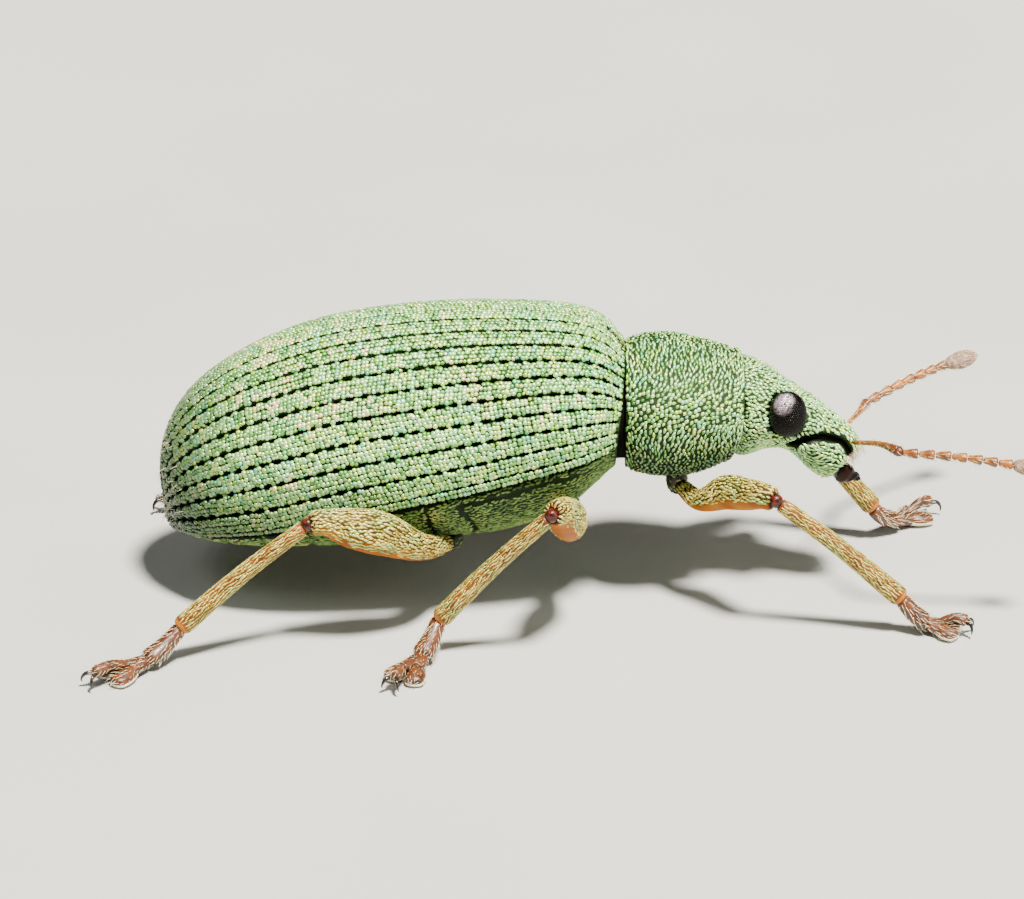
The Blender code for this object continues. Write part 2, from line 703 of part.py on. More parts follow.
def main():
    clear_scene()
    parts = new_collection("green_leaf_weevil")
    shop = new_collection("workshop")
    looks = {name: material(name) for name in COLOURS}
    root = bpy.data.objects.new("weevil", None)
    parts.objects.link(root)

    made = [(build_hind_body(shop), "body"), (build_scutellum(shop), "scutellum")]
    made.append((build_prothorax(shop), "body"))
    made.append((build_head(shop), "body"))
    for side, sign in (("right", -1), ("left", 1)):
        made.append((build_cover(side, sign, shop), "cover"))
        eye = ellipsoid("eye_" + side, mirror_y(EYE_CENTRE, sign), EYE_RADII, shop)
        made.append((roll_head(eye), "eye"))
        made.append((build_mandible(side, sign, shop), "mandible"))
        made += [(piece, "feeler") for piece in build_feeler(side, shop)]
    for leg in LEGS:
        femur, tibia, foot = build_leg(leg, shop)
        made += [(femur, "leg"), (tibia, "leg"), (foot, "foot")]
    for thing, look in made:
        finish(thing, looks[look], root, parts)


main()
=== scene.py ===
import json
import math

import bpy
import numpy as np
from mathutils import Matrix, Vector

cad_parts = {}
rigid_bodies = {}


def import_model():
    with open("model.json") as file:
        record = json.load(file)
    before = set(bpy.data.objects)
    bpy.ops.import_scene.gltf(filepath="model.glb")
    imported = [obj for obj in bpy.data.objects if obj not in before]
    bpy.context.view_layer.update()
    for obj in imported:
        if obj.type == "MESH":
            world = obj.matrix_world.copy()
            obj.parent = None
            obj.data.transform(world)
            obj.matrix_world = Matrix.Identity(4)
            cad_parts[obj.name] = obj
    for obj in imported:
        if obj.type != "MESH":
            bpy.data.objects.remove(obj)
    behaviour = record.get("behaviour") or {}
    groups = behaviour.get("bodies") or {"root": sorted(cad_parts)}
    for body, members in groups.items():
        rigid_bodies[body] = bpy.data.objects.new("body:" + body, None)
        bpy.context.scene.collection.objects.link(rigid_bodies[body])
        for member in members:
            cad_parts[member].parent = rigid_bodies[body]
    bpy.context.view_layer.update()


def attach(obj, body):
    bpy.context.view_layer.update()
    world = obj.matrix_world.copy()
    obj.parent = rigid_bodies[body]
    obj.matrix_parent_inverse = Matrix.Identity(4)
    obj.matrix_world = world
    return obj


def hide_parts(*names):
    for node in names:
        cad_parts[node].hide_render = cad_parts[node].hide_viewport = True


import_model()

# %% [markdown]
# # A green weevil, dressed over its solids
#
# The solids give the animal's outline and pose. This script covers them with what a lens sees on the
# real beetle: dark horny plates, thousands of small domed scales, a dark faceted eye, amber legs with
# narrow pale scales, hooked claws and hair-thin feelers. Everything is worked out in millimetres and
# scaled to metres when a mesh is made. The body's section tables are the solids' own, so each plate lies
# on the solid that it stands for.

MM = 0.001
UP = np.array([0.0, 0.0, 1.0])
SKIN_SINK = 0.02
COVER_SHIFT = 0.006
SIDES = (("right", -1), ("left", 1))
random = np.random.default_rng(20)

# the skins lie SKIN_SINK under the solids, and each cover stands COVER_SHIFT off the middle
# sections: top line x z, widest line x z, half width, belly line x z
HIND_SECTIONS = (
    (0.62, 3.02, 0.52, 2.25, 1.02, 0.50, 1.55),
    (0.42, 3.27, 0.36, 2.24, 1.20, 0.30, 1.35),
    (0.10, 3.42, 0.05, 2.17, 1.30, 0.00, 1.04),
    (-0.47, 3.485, -0.50, 2.05, 1.37, -0.50, 0.78),
    (-1.31, 3.495, -1.30, 1.86, 1.44, -1.30, 0.64),
    (-2.12, 3.43, -2.10, 1.68, 1.47, -2.10, 0.60),
    (-2.85, 3.30, -2.80, 1.50, 1.45, -2.75, 0.58),
    (-3.50, 3.08, -3.40, 1.30, 1.36, -3.30, 0.59),
    (-4.05, 2.79, -3.93, 1.15, 1.20, -3.80, 0.61),
    (-4.50, 2.42, -4.32, 1.03, 0.98, -4.20, 0.64),
    (-4.78, 1.97, -4.58, 0.93, 0.70, -4.48, 0.67),
    (-4.88, 1.45, -4.74, 0.84, 0.38, -4.66, 0.70),
    (-4.82, 0.76, -4.82, 0.76, 0.00, -4.82, 0.76),
)
BELLY_TUCK = 1.25
HEART = (-3.75, 1.30)
MARGIN_ANGLE = 1.70
STRIA_COUNT = 10
STRIA_STEP = 0.16
SCUTELLUM_ANGLE = 0.11
SCUTELLUM_SHARE = 0.10
BELLY_SEAMS = (0.42, 0.54, 0.62, 0.70, 0.78)
PROTHORAX_SECTIONS = (
    (0.68, 3.05, 0.68, 2.25, 0.86, 0.68, 1.50),
    (0.95, 3.10, 0.95, 2.24, 0.97, 0.95, 1.45),
    (1.21, 3.10, 1.21, 2.23, 0.98, 1.21, 1.44),
    (1.49, 3.05, 1.49, 2.21, 0.93, 1.47, 1.47),
    (1.76, 2.98, 1.76, 2.20, 0.85, 1.68, 1.54),
    (2.04, 2.89, 2.01, 2.21, 0.74, 1.86, 1.62),
)
HEAD_SECTIONS = (
    (2.09, 2.87, 2.08, 2.24, 0.61, 1.95, 1.58),
    (2.36, 2.72, 2.36, 2.20, 0.60, 2.34, 1.72),
    (2.64, 2.51, 2.62, 2.12, 0.53, 2.58, 1.70),
    (2.91, 2.35, 2.84, 1.97, 0.44, 2.74, 1.57),
    (3.13, 2.17, 3.01, 1.82, 0.38, 2.88, 1.44),
    (3.31, 2.02, 3.17, 1.72, 0.36, 3.00, 1.38),
    (3.42, 1.88, 3.22, 1.65, 0.37, 3.04, 1.38),
    (3.46, 1.78, 3.26, 1.61, 0.33, 3.09, 1.40),
)
HEAD_ROLL = math.radians(17.0)
HEAD_AXIS_Z = 2.15
EYE_CENTRE = (2.565, 0.53, 2.20)
EYE_RADII = (0.235, 0.21, 0.29)
SCROBE_COURSE = (
    (0.30, 142.0), (0.37, 120.0), (0.455, 98.0), (0.555, 79.0), (0.67, 66.0), (0.80, 62.0), (0.94, 67.0),
)

# %% [markdown]
# ## Shader sums
#
# Colour on a beetle comes from several causes added together: the region, the single scale, wear. A
# small wrapper round a socket lets such sums be written as arithmetic, and one method makes any node.

# %% shader sums


class Wire:
    """A socket that can be added, multiplied and so on."""

    def __init__(self, paint, socket):
        self.paint = paint
        self.socket = socket

    def sum_with(self, operation, first, second):
        return self.paint.make("ShaderNodeMath", {"operation": operation}, {0: first, 1: second})

    def __add__(self, other):
        return self.sum_with("ADD", self, other)

    def __radd__(self, other):
        return self.sum_with("ADD", other, self)

    def __sub__(self, other):
        return self.sum_with("SUBTRACT", self, other)

    def __rsub__(self, other):
        return self.sum_with("SUBTRACT", other, self)

    def __mul__(self, other):
        return self.sum_with("MULTIPLY", self, other)

    def __rmul__(self, other):
        return self.sum_with("MULTIPLY", other, self)

    def step(self, low, high):
        """0 below low, 1 above high, smooth between."""
        limits = {"Value": self, "From Min": low, "From Max": high}
        return self.paint.make("ShaderNodeMapRange", {"interpolation_type": "SMOOTHSTEP"}, limits)


sums = [name.strip("_") for name in vars(Wire) if name.endswith(("add__", "sub__", "mul__"))]
print("sums that a wire can make:", sums)

# %% paints


class Paint:
    """A material whose nodes are made one call each."""

    def __init__(self, name, **constants):
        self.material = bpy.data.materials.new(name)
        self.material.use_nodes = True
        self.tree = self.material.node_tree
        self.shader = self.tree.nodes["Principled BSDF"]
        for key, value in constants.items():
            self.shader.inputs[key.replace("_", " ").title().replace("Ior", "IOR")].default_value = value

    def make(self, kind, settings, inputs, output=0):
        """Adds a node and gives the wire that comes out of it."""
        node = self.tree.nodes.new(kind)
        for key, value in settings.items():
            setattr(node, key, value)
        for key, value in inputs.items():
            self.feed(node.inputs[key], value)
        return Wire(self, node.outputs[output])

    def feed(self, socket, value):
        """Sets a socket to a number or joins a wire to it."""
        if isinstance(value, Wire):
            self.tree.links.new(value.socket, socket)
        else:
            socket.default_value = value

    def place(self):
        return self.make("ShaderNodeTexCoord", {}, {}, "Object")

    def axis(self, index):
        return self.make("ShaderNodeSeparateXYZ", {}, {0: self.place()}, index)

    def noise(self, size_mm, detail=2.0):
        """Cloudy values near 0.5, with blotches of the given size."""
        inputs = {"Vector": self.place(), "Scale": 1.0 / (size_mm * MM), "Detail": detail}
        return self.make("ShaderNodeTexNoise", {}, inputs, "Fac")

    def attribute(self, name):
        return self.make("ShaderNodeAttribute", {"attribute_name": name}, {}, "Fac")

    def blend(self, factor, first, second):
        return self.make("ShaderNodeMix", {"data_type": "RGBA"}, {"Factor": factor, 6: first, 7: second}, 2)

    def zone(self, index, low_mm, high_mm):
        """0 below low, 1 above high along the animal's own X, Y or Z."""
        return self.axis(index).step(low_mm * MM, high_mm * MM)

    def two_tone(self, blotch_mm, low, high, first, second):
        """Two colours that share the surface in blotches."""
        return self.blend(self.noise(blotch_mm).step(low, high), first, second)

    def grain(self, size_mm, depth_mm, strength, detail=3.0):
        """A relief too fine for the mesh."""
        inputs = {"Height": self.noise(size_mm, detail), "Distance": depth_mm * MM, "Strength": strength}
        self.feed(self.shader.inputs["Normal"], self.make("ShaderNodeBump", {}, inputs))

    def colour(self, value):
        self.feed(self.shader.inputs["Base Color"], value)

    def rough(self, value):
        self.feed(self.shader.inputs["Roughness"], value)


print("a paint knows how to", [name for name in vars(Paint) if not name.startswith("_")])

# %% colours


def rgb(red, green, blue):
    """A colour as seen on screen, 0 to 255, turned into the linear light that shaders use."""
    def linear(level):
        return level / 255 / 12.92 if level < 11 else ((level / 255 + 0.055) / 1.055) ** 2.4

    return linear(red), linear(green), linear(blue), 1.0


def mottled(name, first, second, blotches, grain, **constants):
    """A paint of two colours in blotches (size in mm, low and high limit), with a fine relief."""
    paint = Paint(name, **constants)
    paint.colour(paint.two_tone(*blotches, first, second))
    paint.grain(*grain)
    return paint


print("mid grey on screen is", round(rgb(128, 128, 128)[0], 3), "in linear light")

# %% [markdown]
# ## Surfaces
#
# A body plate is a surface in two numbers: the share of its length and the angle round it. A limb is a
# tube in the same two numbers. Because both answer the same question, one routine can find the point, the
# outward direction and the direction towards the tail at any place, for the skin and for every scale.

# %% surface functions


def spline(rows, shares):
    """Rows of numbers at many shares from 0 to 1 along a smooth curve through the given rows."""
    rows = np.asarray(rows, float)
    ends = np.vstack([2 * rows[0] - rows[1], rows, 2 * rows[-1] - rows[-2]])
    place = np.clip(np.asarray(shares, float), 0.0, 1.0) * (len(rows) - 1)
    index = np.minimum(place.astype(int), len(rows) - 2)
    t = (place - index)[..., None]
    a, b, c, d = (ends[index + step] for step in range(4))
    return b + 0.5 * t * (c - a + t * (2 * a - 5 * b + 4 * c - d + t * (3 * (b - c) + d - a)))


def unit(vectors):
    """Each vector at length 1."""
    return vectors / np.maximum(np.linalg.norm(vectors, axis=-1, keepdims=True), 1e-12)


def hill(distance, width, power=2):
    """1 at no distance, smoothly down to nothing past the width."""
    return np.exp(-(distance / width) ** power)


def walked(course):
    """The way walked at each point of a line of points."""
    return np.concatenate([[0], np.cumsum(np.linalg.norm(np.diff(course, axis=0), axis=1))])


def full_turn(count):
    """Angles all the way round, the last one a step before the first."""
    return np.linspace(-math.pi, math.pi, count, endpoint=False)


def mirrored(point, sign):
    """A point, on the other side of the middle plane where the sign is -1."""
    return np.array([point[0], point[1] * sign, point[2]])


def turn_x(points, angle, height):
    """Points turned about a line along X at the given height."""
    turned = points.copy()
    y = points[..., 1]
    z = points[..., 2] - height
    turned[..., 1] = y * math.cos(angle) - z * math.sin(angle)
    turned[..., 2] = y * math.sin(angle) + z * math.cos(angle) + height
    return turned


AROUND = (-math.pi, math.pi)
print("half way over a bent line:", spline(((0, 0), (1, 1), (2, 0)), [0.25])[0])

# %% plates and limbs


class Plate:
    """A body plate lofted through sections; depth is how far it lies under the solid."""

    def __init__(self, sections, tuck=1.0, heart=None, roll=0.0, relief=None, reach=(0.0, 0.0)):
        self.sections = sections
        self.reach = reach
        self.tuck = tuck
        self.heart = heart
        self.roll = roll
        self.relief = relief

    def bare(self, share, angle):
        top_x, top_z, mid_x, mid_z, half, low_x, low_z = np.moveaxis(spline(self.sections, share), -1, 0)
        rise = np.cos(angle)
        reach = np.sin(angle)
        upper = rise >= 0
        end_x = np.where(upper, top_x, low_x)
        end_z = np.where(upper, top_z, low_z)
        power = np.where(upper, 1.0, self.tuck)
        side = np.sign(reach) * np.abs(reach) ** power * np.maximum(half, 0.0)
        x = mid_x + (end_x - mid_x) * np.abs(rise)
        z = mid_z + (end_z - mid_z) * np.abs(rise)
        return np.stack([x, side, z], -1), np.stack([mid_x, np.zeros_like(mid_x), mid_z], -1)

    def point(self, share, angle, depth=0.0):
        share, angle = np.broadcast_arrays(np.asarray(share, float), np.asarray(angle, float))
        point, core = self.bare(share, angle)
        if self.heart:
            core[..., 0] = np.maximum(core[..., 0], self.heart[0])
            core[..., 2] = np.maximum(core[..., 2], self.heart[1])
        depth = np.broadcast_to(np.asarray(depth, float), share.shape)
        if self.relief:
            depth = depth + self.relief(share, angle, point)
        point = point + unit(core - point) * depth[..., None]
        point[..., 0] += self.reach[0] * np.exp(-share / 0.03) + self.reach[1] * np.exp((share - 1) / 0.05)
        return turn_x(point, -self.roll, HEAD_AXIS_Z) if self.roll else point


class Tube:
    """A limb: stations of x, y, z, half width and half height, rounded at its ends."""

    def __init__(self, stations, start_round=0.06, end_round=0.06, relief=None):
        self.stations = stations
        self.start_round = start_round
        self.end_round = end_round
        self.relief = relief
        steps = np.asarray(stations, float)[:, :3]
        self.length = float(np.linalg.norm(np.diff(steps, axis=0), axis=1).sum())

    def point(self, share, angle, depth=0.0):
        share, angle = np.broadcast_arrays(np.asarray(share, float), np.asarray(angle, float))
        here = spline(self.stations, share)
        ahead, behind = (spline(self.stations, share + step)[..., :3] for step in (0.01, -0.01))
        along = unit(ahead - behind)
        across = unit(np.cross(along, UP))
        upward = np.cross(across, along)
        ends = np.clip(share / self.start_round, 0, 1)
        shrink = np.sqrt(1 - (1 - ends) ** 2)
        ends = np.clip((1 - share) / self.end_round, 0, 1)
        shrink = shrink * np.sqrt(1 - (1 - ends) ** 2)
        swell = -np.broadcast_to(np.asarray(depth, float), share.shape)
        if self.relief:
            swell = swell - self.relief(share, angle)
        wide = np.maximum(here[..., 3] + swell, 0.002) * shrink
        high = np.maximum(here[..., 4] + swell, 0.002) * shrink
        sideways = across * (np.sin(angle) * wide)[..., None]
        return here[..., :3] + sideways + upward * (np.cos(angle) * high)[..., None]


print("a straight rod 2 mm long:", Tube([(0, 0, 0, 0.1, 0.1), (2, 0, 0, 0.1, 0.1)]).length, "mm")

# %% reading a surface
FAR_OFF = 9.0


def nearest_distance(points, targets):
    """Distance from each point to the nearest of the targets."""
    flat = points.reshape(-1, 3)
    best = np.full(len(flat), FAR_OFF)
    for target in targets:
        best = np.minimum(best, np.linalg.norm(flat - target, axis=1))
    return best.reshape(points.shape[:-1])


def frame_at(surface, share, angle, depth=0.0):
    """Point, outward direction and direction of growing share at each place of a surface."""
    small = 0.004
    point = surface.point(share, angle, depth)
    ahead = surface.point(np.minimum(share + small, 1.0), angle, depth)
    behind = surface.point(np.maximum(share - small, 0.0), angle, depth)
    round_on = surface.point(share, angle + small * 3, depth)
    round_back = surface.point(share, angle - small * 3, depth)
    along = unit(ahead - behind)
    outward = unit(np.cross(along, round_on - round_back))
    middle = surface.point(share, angle + math.pi, depth)
    flip = np.sign((outward * (point - middle)).sum(-1, keepdims=True))
    flip[flip == 0] = 1.0
    return point, outward * flip, along


print("far off is", FAR_OFF, "mm")

# %% [markdown]
# ## Meshes
#
# A skin is a grid over such a surface, closed by a fan at each end. It could be sculpted, but a grid keeps
# the angle and the share at every corner, and the map and the markings are read from those two.

# %% pieces


def new_piece(name, corners, faces, material, nodes=(), slot=None, values=None, uv=None):
    """Makes a mesh in metres from arrays in millimetres. Faces are arrays of equal-sided faces."""
    mesh = bpy.data.meshes.new(name)
    loops = np.concatenate([group.ravel() for group in faces])
    sides = np.concatenate([np.full(len(group), group.shape[1]) for group in faces])
    starts = np.concatenate([[0], np.cumsum(sides)[:-1]])
    mesh.vertices.add(len(corners))
    mesh.vertices.foreach_set("co", (np.asarray(corners, float) * MM).ravel())
    mesh.loops.add(len(loops))
    mesh.loops.foreach_set("vertex_index", loops.astype(np.int32))
    mesh.polygons.add(len(sides))
    mesh.polygons.foreach_set("loop_start", starts.astype(np.int32))
    for key, numbers in (values or {}).items():
        layer = mesh.attributes.new(key, "FLOAT", "POINT")
        layer.data.foreach_set("value", np.asarray(numbers, np.float32))
    if uv is not None:
        layer = mesh.uv_layers.new(name="OFBake")
        layer.data.foreach_set("uv", np.asarray(uv, np.float32)[loops].ravel())
    mesh.update(calc_edges=True)
    mesh.validate()
    mesh.polygons.foreach_set("use_smooth", np.full(len(mesh.polygons), True))
    mesh.materials.append(material.material)
    piece = bpy.data.objects.new(name, mesh)
    bpy.context.scene.collection.objects.link(piece)
    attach(piece, "root")
    if nodes:
        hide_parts(*nodes)
    return piece


def grid_faces(rows, columns, ring=False):
    """Four-sided faces of a grid, whose last column meets its first where it is a ring."""
    last = columns if ring else columns - 1
    row, column = np.meshgrid(np.arange(rows - 1), np.arange(last), indexing="ij")
    after = (column + 1) % columns
    quads = np.stack([row * columns + column, row * columns + after,
                      (row + 1) * columns + after, (row + 1) * columns + column], -1)
    return quads.reshape(-1, 4)


print("a ring of 3 by 4 corners has", len(grid_faces(3, 4, True)), "faces")

# %% skins


def map_place(share, angle):
    """A place on the skin's own unwrap: its length across the map, its way round up the map."""
    return np.stack([0.02 + 0.96 * share, 0.5 + angle / (2.1 * math.pi)], -1)


def skin(name, surface, shares, angles, material, depth=0.0, extra=None, **more):
    """A grid over a surface that closes on itself round the angles and is shut at both ends."""
    share, angle = np.meshgrid(shares, angles, indexing="ij")
    points = surface.point(share, angle, depth).reshape(-1, 3)
    points = np.vstack([points, points[:len(angles)].mean(0), points[-len(angles):].mean(0)])
    rows, columns = share.shape
    count = rows * columns
    column = np.arange(columns)
    after = (column + 1) % columns
    base = (rows - 1) * columns
    groups = [grid_faces(rows, columns, True),
              np.stack([np.full(columns, count), after, column], -1),
              np.stack([np.full(columns, count + 1), base + column, base + after], -1)]
    run = np.append(share.ravel(), [0.0, 1.0])
    uv = map_place(run, np.append(angle.ravel(), [0.0, 0.0]))
    middling = np.full(len(run), 0.5)
    values = {"run": run, "tone": middling, "hue": middling, **(extra or {})}
    return new_piece(name, points, groups, material, values=values, uv=uv, **more)


print("the skin's unwrap goes from", map_place(0.0, -math.pi), "to", map_place(1.0, math.pi))

# %% [markdown]
# ## Scales and hairs
#
# Scales and hairs are one small closed form repeated: its corners are turned to the surface at each root
# and joined in one mesh. Particles would be quicker to make, but they are lost when the model is exported.
# Each scale keeps its own patch on the map of the skin, where its root is, and a tone of its own, so that
# no two neighbours are quite the same colour.

# %% small forms


def form(outline, rings):
    """A closed form. Outline is corners x, y at its rim; rings are (scale, height), the last a point."""
    outline = np.asarray(outline, float)
    count = len(outline)
    corners = [np.column_stack([outline * scale, np.full(count, height)]) for scale, height in rings[:-1]]
    corners = np.vstack(corners + [[[0.0, 0.0, rings[-1][1]]]])
    levels = len(rings) - 1
    tip = levels * count
    top = [(tip - count + i, tip - count + (i + 1) % count, tip) for i in range(count)]
    under = [tuple(range(count))[::-1]]
    return corners, [grid_faces(levels, count, True), np.array(top), np.array(under)]


def round_outline(sides):
    """Corners of a regular form 1 across."""
    turn = np.arange(sides) * math.tau / sides
    return np.column_stack([np.cos(turn) * 0.5, np.sin(turn) * 0.5])


DOME = form(round_outline(8), ((1.0, -0.30), (0.78, 0.74), (0, 1.0)))
LENS = form(round_outline(8), ((1.1, -1.6), (1.1, -0.21), (0.8, 0.36), (0.5, 0.75), (0, 1.0)))
LANCE = form(((-0.5, 0.0), (-0.25, 0.38), (0.15, 0.5), (0.5, 0.0), (0.15, -0.5), (-0.25, -0.38)),
             ((1.0, -0.3), (1.0, 0.35), (0, 1.0)))


def hair_form():
    """A three-sided bristle that bends over towards its tip."""
    ring = np.array([[0.0, 0.5], [0.43, -0.25], [-0.43, -0.25]])
    stages = ((0.0, -0.1, 1.0), (0.30, 0.35, 0.8), (0.68, 0.75, 0.45))
    corners = []
    for along, lift, scale in stages:
        corners += [(along, side * scale, lift + rise * scale * 0.2) for rise, side in ring]
    corners.append((1.0, 0.0, 1.0))
    top = [(6 + i, 6 + (i + 1) % 3, 9) for i in range(3)]
    return np.array(corners), [grid_faces(3, 3, True), np.array(top), np.array([(2, 1, 0)])]


HAIR = hair_form()
print("corners of dome, lens, lance and hair:", [len(shape[0]) for shape in (DOME, LENS, LANCE, HAIR)])

# %% coats
MAP_PATCH = 0.003


def coat(name, shape, places, lengths, widths, heights, material, uv, tones, runs=None, tilt=0.0, **more):
    """One mesh of the same small form at many places: root, outward direction and direction it points in."""
    root, outward, along = places
    along = unit(along - outward * (along * outward).sum(-1, keepdims=True))
    across = np.cross(outward, along)
    corners, groups = shape
    count = len(root)
    rise = np.radians(np.broadcast_to(tilt, (count,)))[:, None]
    lying = along * np.cos(rise) + outward * np.sin(rise)
    outward = outward * np.cos(rise) - along * np.sin(rise)
    points = root[:, None, :]
    for index, (way, sizes) in enumerate(((lying, lengths), (across, widths), (outward, heights))):
        sizes = np.broadcast_to(np.asarray(sizes, float), (count,))
        points = points + way[:, None, :] * (corners[None, :, index, None] * sizes[:, None, None])
    first = (np.arange(count) * len(corners))[:, None, None]
    faces = [(group[None] + first).reshape(-1, group.shape[1]) for group in groups]
    where = (uv[:, None, :] + corners[None, :, :2] * MAP_PATCH).reshape(-1, 2)
    values = {"tone": np.repeat(tones, len(corners)), "hue": np.repeat(random.random(count), len(corners)),
              "run": np.repeat(runs if runs is not None else np.zeros(count), len(corners))}
    return new_piece(name, points.reshape(-1, 3), faces, material, values=values, uv=where, **more)


print("a scale takes", MAP_PATCH, "of the map")

# %% [markdown]
# ## Roots
#
# Scales grow at an even distance and never in rows of a ruler. The roots are drawn at random in proportion
# to the area, and a root too near to an earlier one is dropped, which is found quickly through a table of
# small cubes of space.

# %% roots
NET_ROWS, NET_COLUMNS = 400, 90
TRIES = 9
NEIGHBOURS = [(i, j, k) for i in (-1, 0, 1) for j in (-1, 0, 1) for k in (-1, 0, 1)]


def spread(surface, share_range, angle_range, spacing):
    """Roots at random on a surface, none nearer to another than the spacing."""
    s = np.linspace(*share_range, NET_ROWS)
    a = np.linspace(*angle_range, NET_COLUMNS)
    share, angle = np.meshgrid(s, a, indexing="ij")
    net = surface.point(share, angle)
    edge_u = np.linalg.norm(np.diff(net, axis=0), axis=-1)[:, :-1]
    edge_v = np.linalg.norm(np.diff(net, axis=1), axis=-1)[:-1, :]
    area = edge_u * edge_v
    total = area.sum()
    count = int(total / spacing ** 2 * TRIES)
    cell = random.choice(area.size, size=count, p=(area / total).ravel())
    row, column = np.unravel_index(cell, area.shape)
    share = s[row] + random.random(count) * (s[1] - s[0])
    angle = a[column] + random.random(count) * (a[1] - a[0])
    points = surface.point(share, angle)
    keys = np.floor(points / spacing).astype(int)
    taken = {}
    kept = []
    limit = spacing * spacing
    listed = points.tolist()
    for index, key in enumerate(map(tuple, keys)):
        x, y, z = listed[index]
        around = (taken.get((key[0] + i, key[1] + j, key[2] + k), ()) for i, j, k in NEIGHBOURS)
        if all((x - a) ** 2 + (y - b) ** 2 + (z - c) ** 2 >= limit for cell in around for a, b, c in cell):
            taken.setdefault(key, []).append((x, y, z))
            kept.append(index)
    return share[kept], angle[kept]


def wobble(count, most):
    """Factors about 1 that differ by the given share at most."""
    return 1.0 + most * (random.random(count) * 2 - 1)


def turned(places, degrees):
    """The same places with each lie turned about the outward direction by its own angle."""
    root, outward, along = places
    turn = np.radians(degrees)[:, None]
    along = unit(along - outward * (along * outward).sum(-1, keepdims=True))
    across = np.cross(outward, along)
    return root, outward, along * np.cos(turn) + across * np.sin(turn)


print("cubes looked at for each root:", len(NEIGHBOURS))

# %% [markdown]
# ## Growing a coat
#
# Nearly every coat of the beetle is made in the same steps: roots, the way each scale lies, its own size,
# shade and tilt. Each could be written out where it is needed, but one routine keeps them alike, and a
# coat is then a single call with its measures.

# %% growing a coat


def grow(name, shape, surface, roots, material, size, vary=(0, 0, 0), lie=0.0, stray=0.0, depth=0.0,
         shift=0.0, tones=1.0, lighter=0.0, tilt=(0.0, 0.0), **more):
    """A coat at the roots of a surface.

    Size is length, width and height in mm, and vary the share by which each may differ. Lie is the angle
    in degrees away from straight back, and stray its scatter. Tilt is how far a scale stands up, with its
    scatter. Tones and lighter set the range of the shades.
    """
    share, angle = roots
    count = len(share)
    places = turned(frame_at(surface, share, angle, depth), random.normal(lie, stray, count))
    places[0][:, 1] += shift
    length, width, height = (side * wobble(count, most) if most else side for side, most in zip(size, vary))
    tone = np.clip(random.random(count) * tones + lighter, 0, 1)
    lean = random.normal(*tilt, count) if tilt[1] else tilt[0]
    coat(name, shape, places, length, width, height, material, map_place(share, angle), tone, share,
         tilt=lean, **more)
    print(name, count)


forms = {"dome": DOME, "lens": LENS, "lance": LANCE, "hair": HAIR}
for name, (corners, groups) in forms.items():
    print("triangles of one", name, sum(len(group) * (group.shape[1] - 2) for group in groups))

# %% [markdown]
# ## Materials
#
# The scales are thin metallic plates. Their colour wanders from mint to yellow-green, teal and a pinkish
# gold over patches a few tenths of a millimetre wide, and every scale has a shade of its own on top. The
# horn under them is nearly black-green. Both read the same patches, so that the markings agree. The
# patches also hold painted light: a painted shade of deep green low on the flank and at the tail end, and
# a painted highlight that pales the front of the prothorax and the head.

# %% body materials
LENGTHWISE, UPWARD = 0, 2
# each colour of the scales from its darkest to its palest
GREENS = {
    "mint": (rgb(76, 142, 56), rgb(190, 238, 158)),
    "teal": (rgb(66, 160, 110), rgb(140, 226, 180)),
    "lime": (rgb(128, 180, 54), rgb(220, 244, 140)),
    "gold": (rgb(182, 158, 88), rgb(240, 224, 166)),
}
# a pale green painted as a highlight over the front of the prothorax and the head
PAINTED_HIGHLIGHT_FRONT = rgb(206, 246, 172)
# a deep green painted as shade on the lower flank and the tail end
PAINTED_SHADE_GREEN = rgb(18, 44, 4)


def patches(paint):
    """Regional colour that horn and scales share; it holds painted shade and a painted highlight."""
    tone = paint.attribute("tone")
    hue = paint.attribute("hue")
    mint, teal, lime, gold = (paint.blend(tone, dark, pale) for dark, pale in GREENS.values())
    teal_share = (paint.noise(0.45) * 0.7 + hue * 0.55).step(0.80, 0.90) * 0.8
    lime_share = (paint.noise(0.28, 1.0) * 0.7 + (1.0 - hue) * 0.55).step(0.70, 0.82)
    # the pinkish gold gathers high on the rear half
    back = paint.zone(LENGTHWISE, -4.4, -3.4) * (1.0 - paint.zone(LENGTHWISE, -2.4, -1.5))
    warm = paint.noise(0.4) * 0.8 + tone * 0.40 + back * paint.zone(UPWARD, 2.2, 2.7) * 0.12
    base = paint.blend(lime_share, paint.blend(teal_share, mint, teal), lime)
    base = paint.blend(warm.step(0.80, 0.92), base, gold)
    # painted highlight: the front of the prothorax and the head are paled a little
    base = paint.blend(paint.zone(LENGTHWISE, 1.3, 2.1) * 0.20, base, PAINTED_HIGHLIGHT_FRONT)
    # painted shade on the low flank and tail end, starting higher on the barrel and lower on the head
    barrel = paint.zone(LENGTHWISE, 0.55, 0.75) * 0.45
    muzzle = paint.zone(LENGTHWISE, 1.9, 2.3) * 1.15
    low = 1.0 - (paint.axis(UPWARD) - (barrel - muzzle) * MM).step(0.9 * MM, 2.3 * MM)
    # the tail end gets the painted shade too
    rear = 1.0 - paint.zone(LENGTHWISE, -5.0, -3.6)
    return paint.blend(1.0 - (1.0 - low * 0.86) * (1.0 - rear * 0.80), base, PAINTED_SHADE_GREEN)


scale_paint = Paint("green_scales", roughness=0.36, metallic=0.45, coat_weight=0.4, coat_roughness=0.15)
scale_paint.colour(patches(scale_paint))
scale_paint.rough(0.26 + scale_paint.attribute("hue") * 0.16)
scale_paint.grain(0.012, 0.003, 0.35)

horn_paint = Paint("green_black_horn", roughness=0.5, specular_ior_level=0.06)
horn_bare = horn_paint.attribute("bare")
horn_green = horn_paint.blend(0.05, rgb(4, 10, 4), patches(horn_paint))
horn_paint.colour(horn_paint.blend(horn_bare, horn_green, rgb(3, 3, 2)))
horn_paint.rough((0.40 + horn_paint.noise(0.05) * 0.2) * (1.0 - horn_bare * 0.72))
horn_paint.grain(0.03, 0.006, 0.5, 4.0)

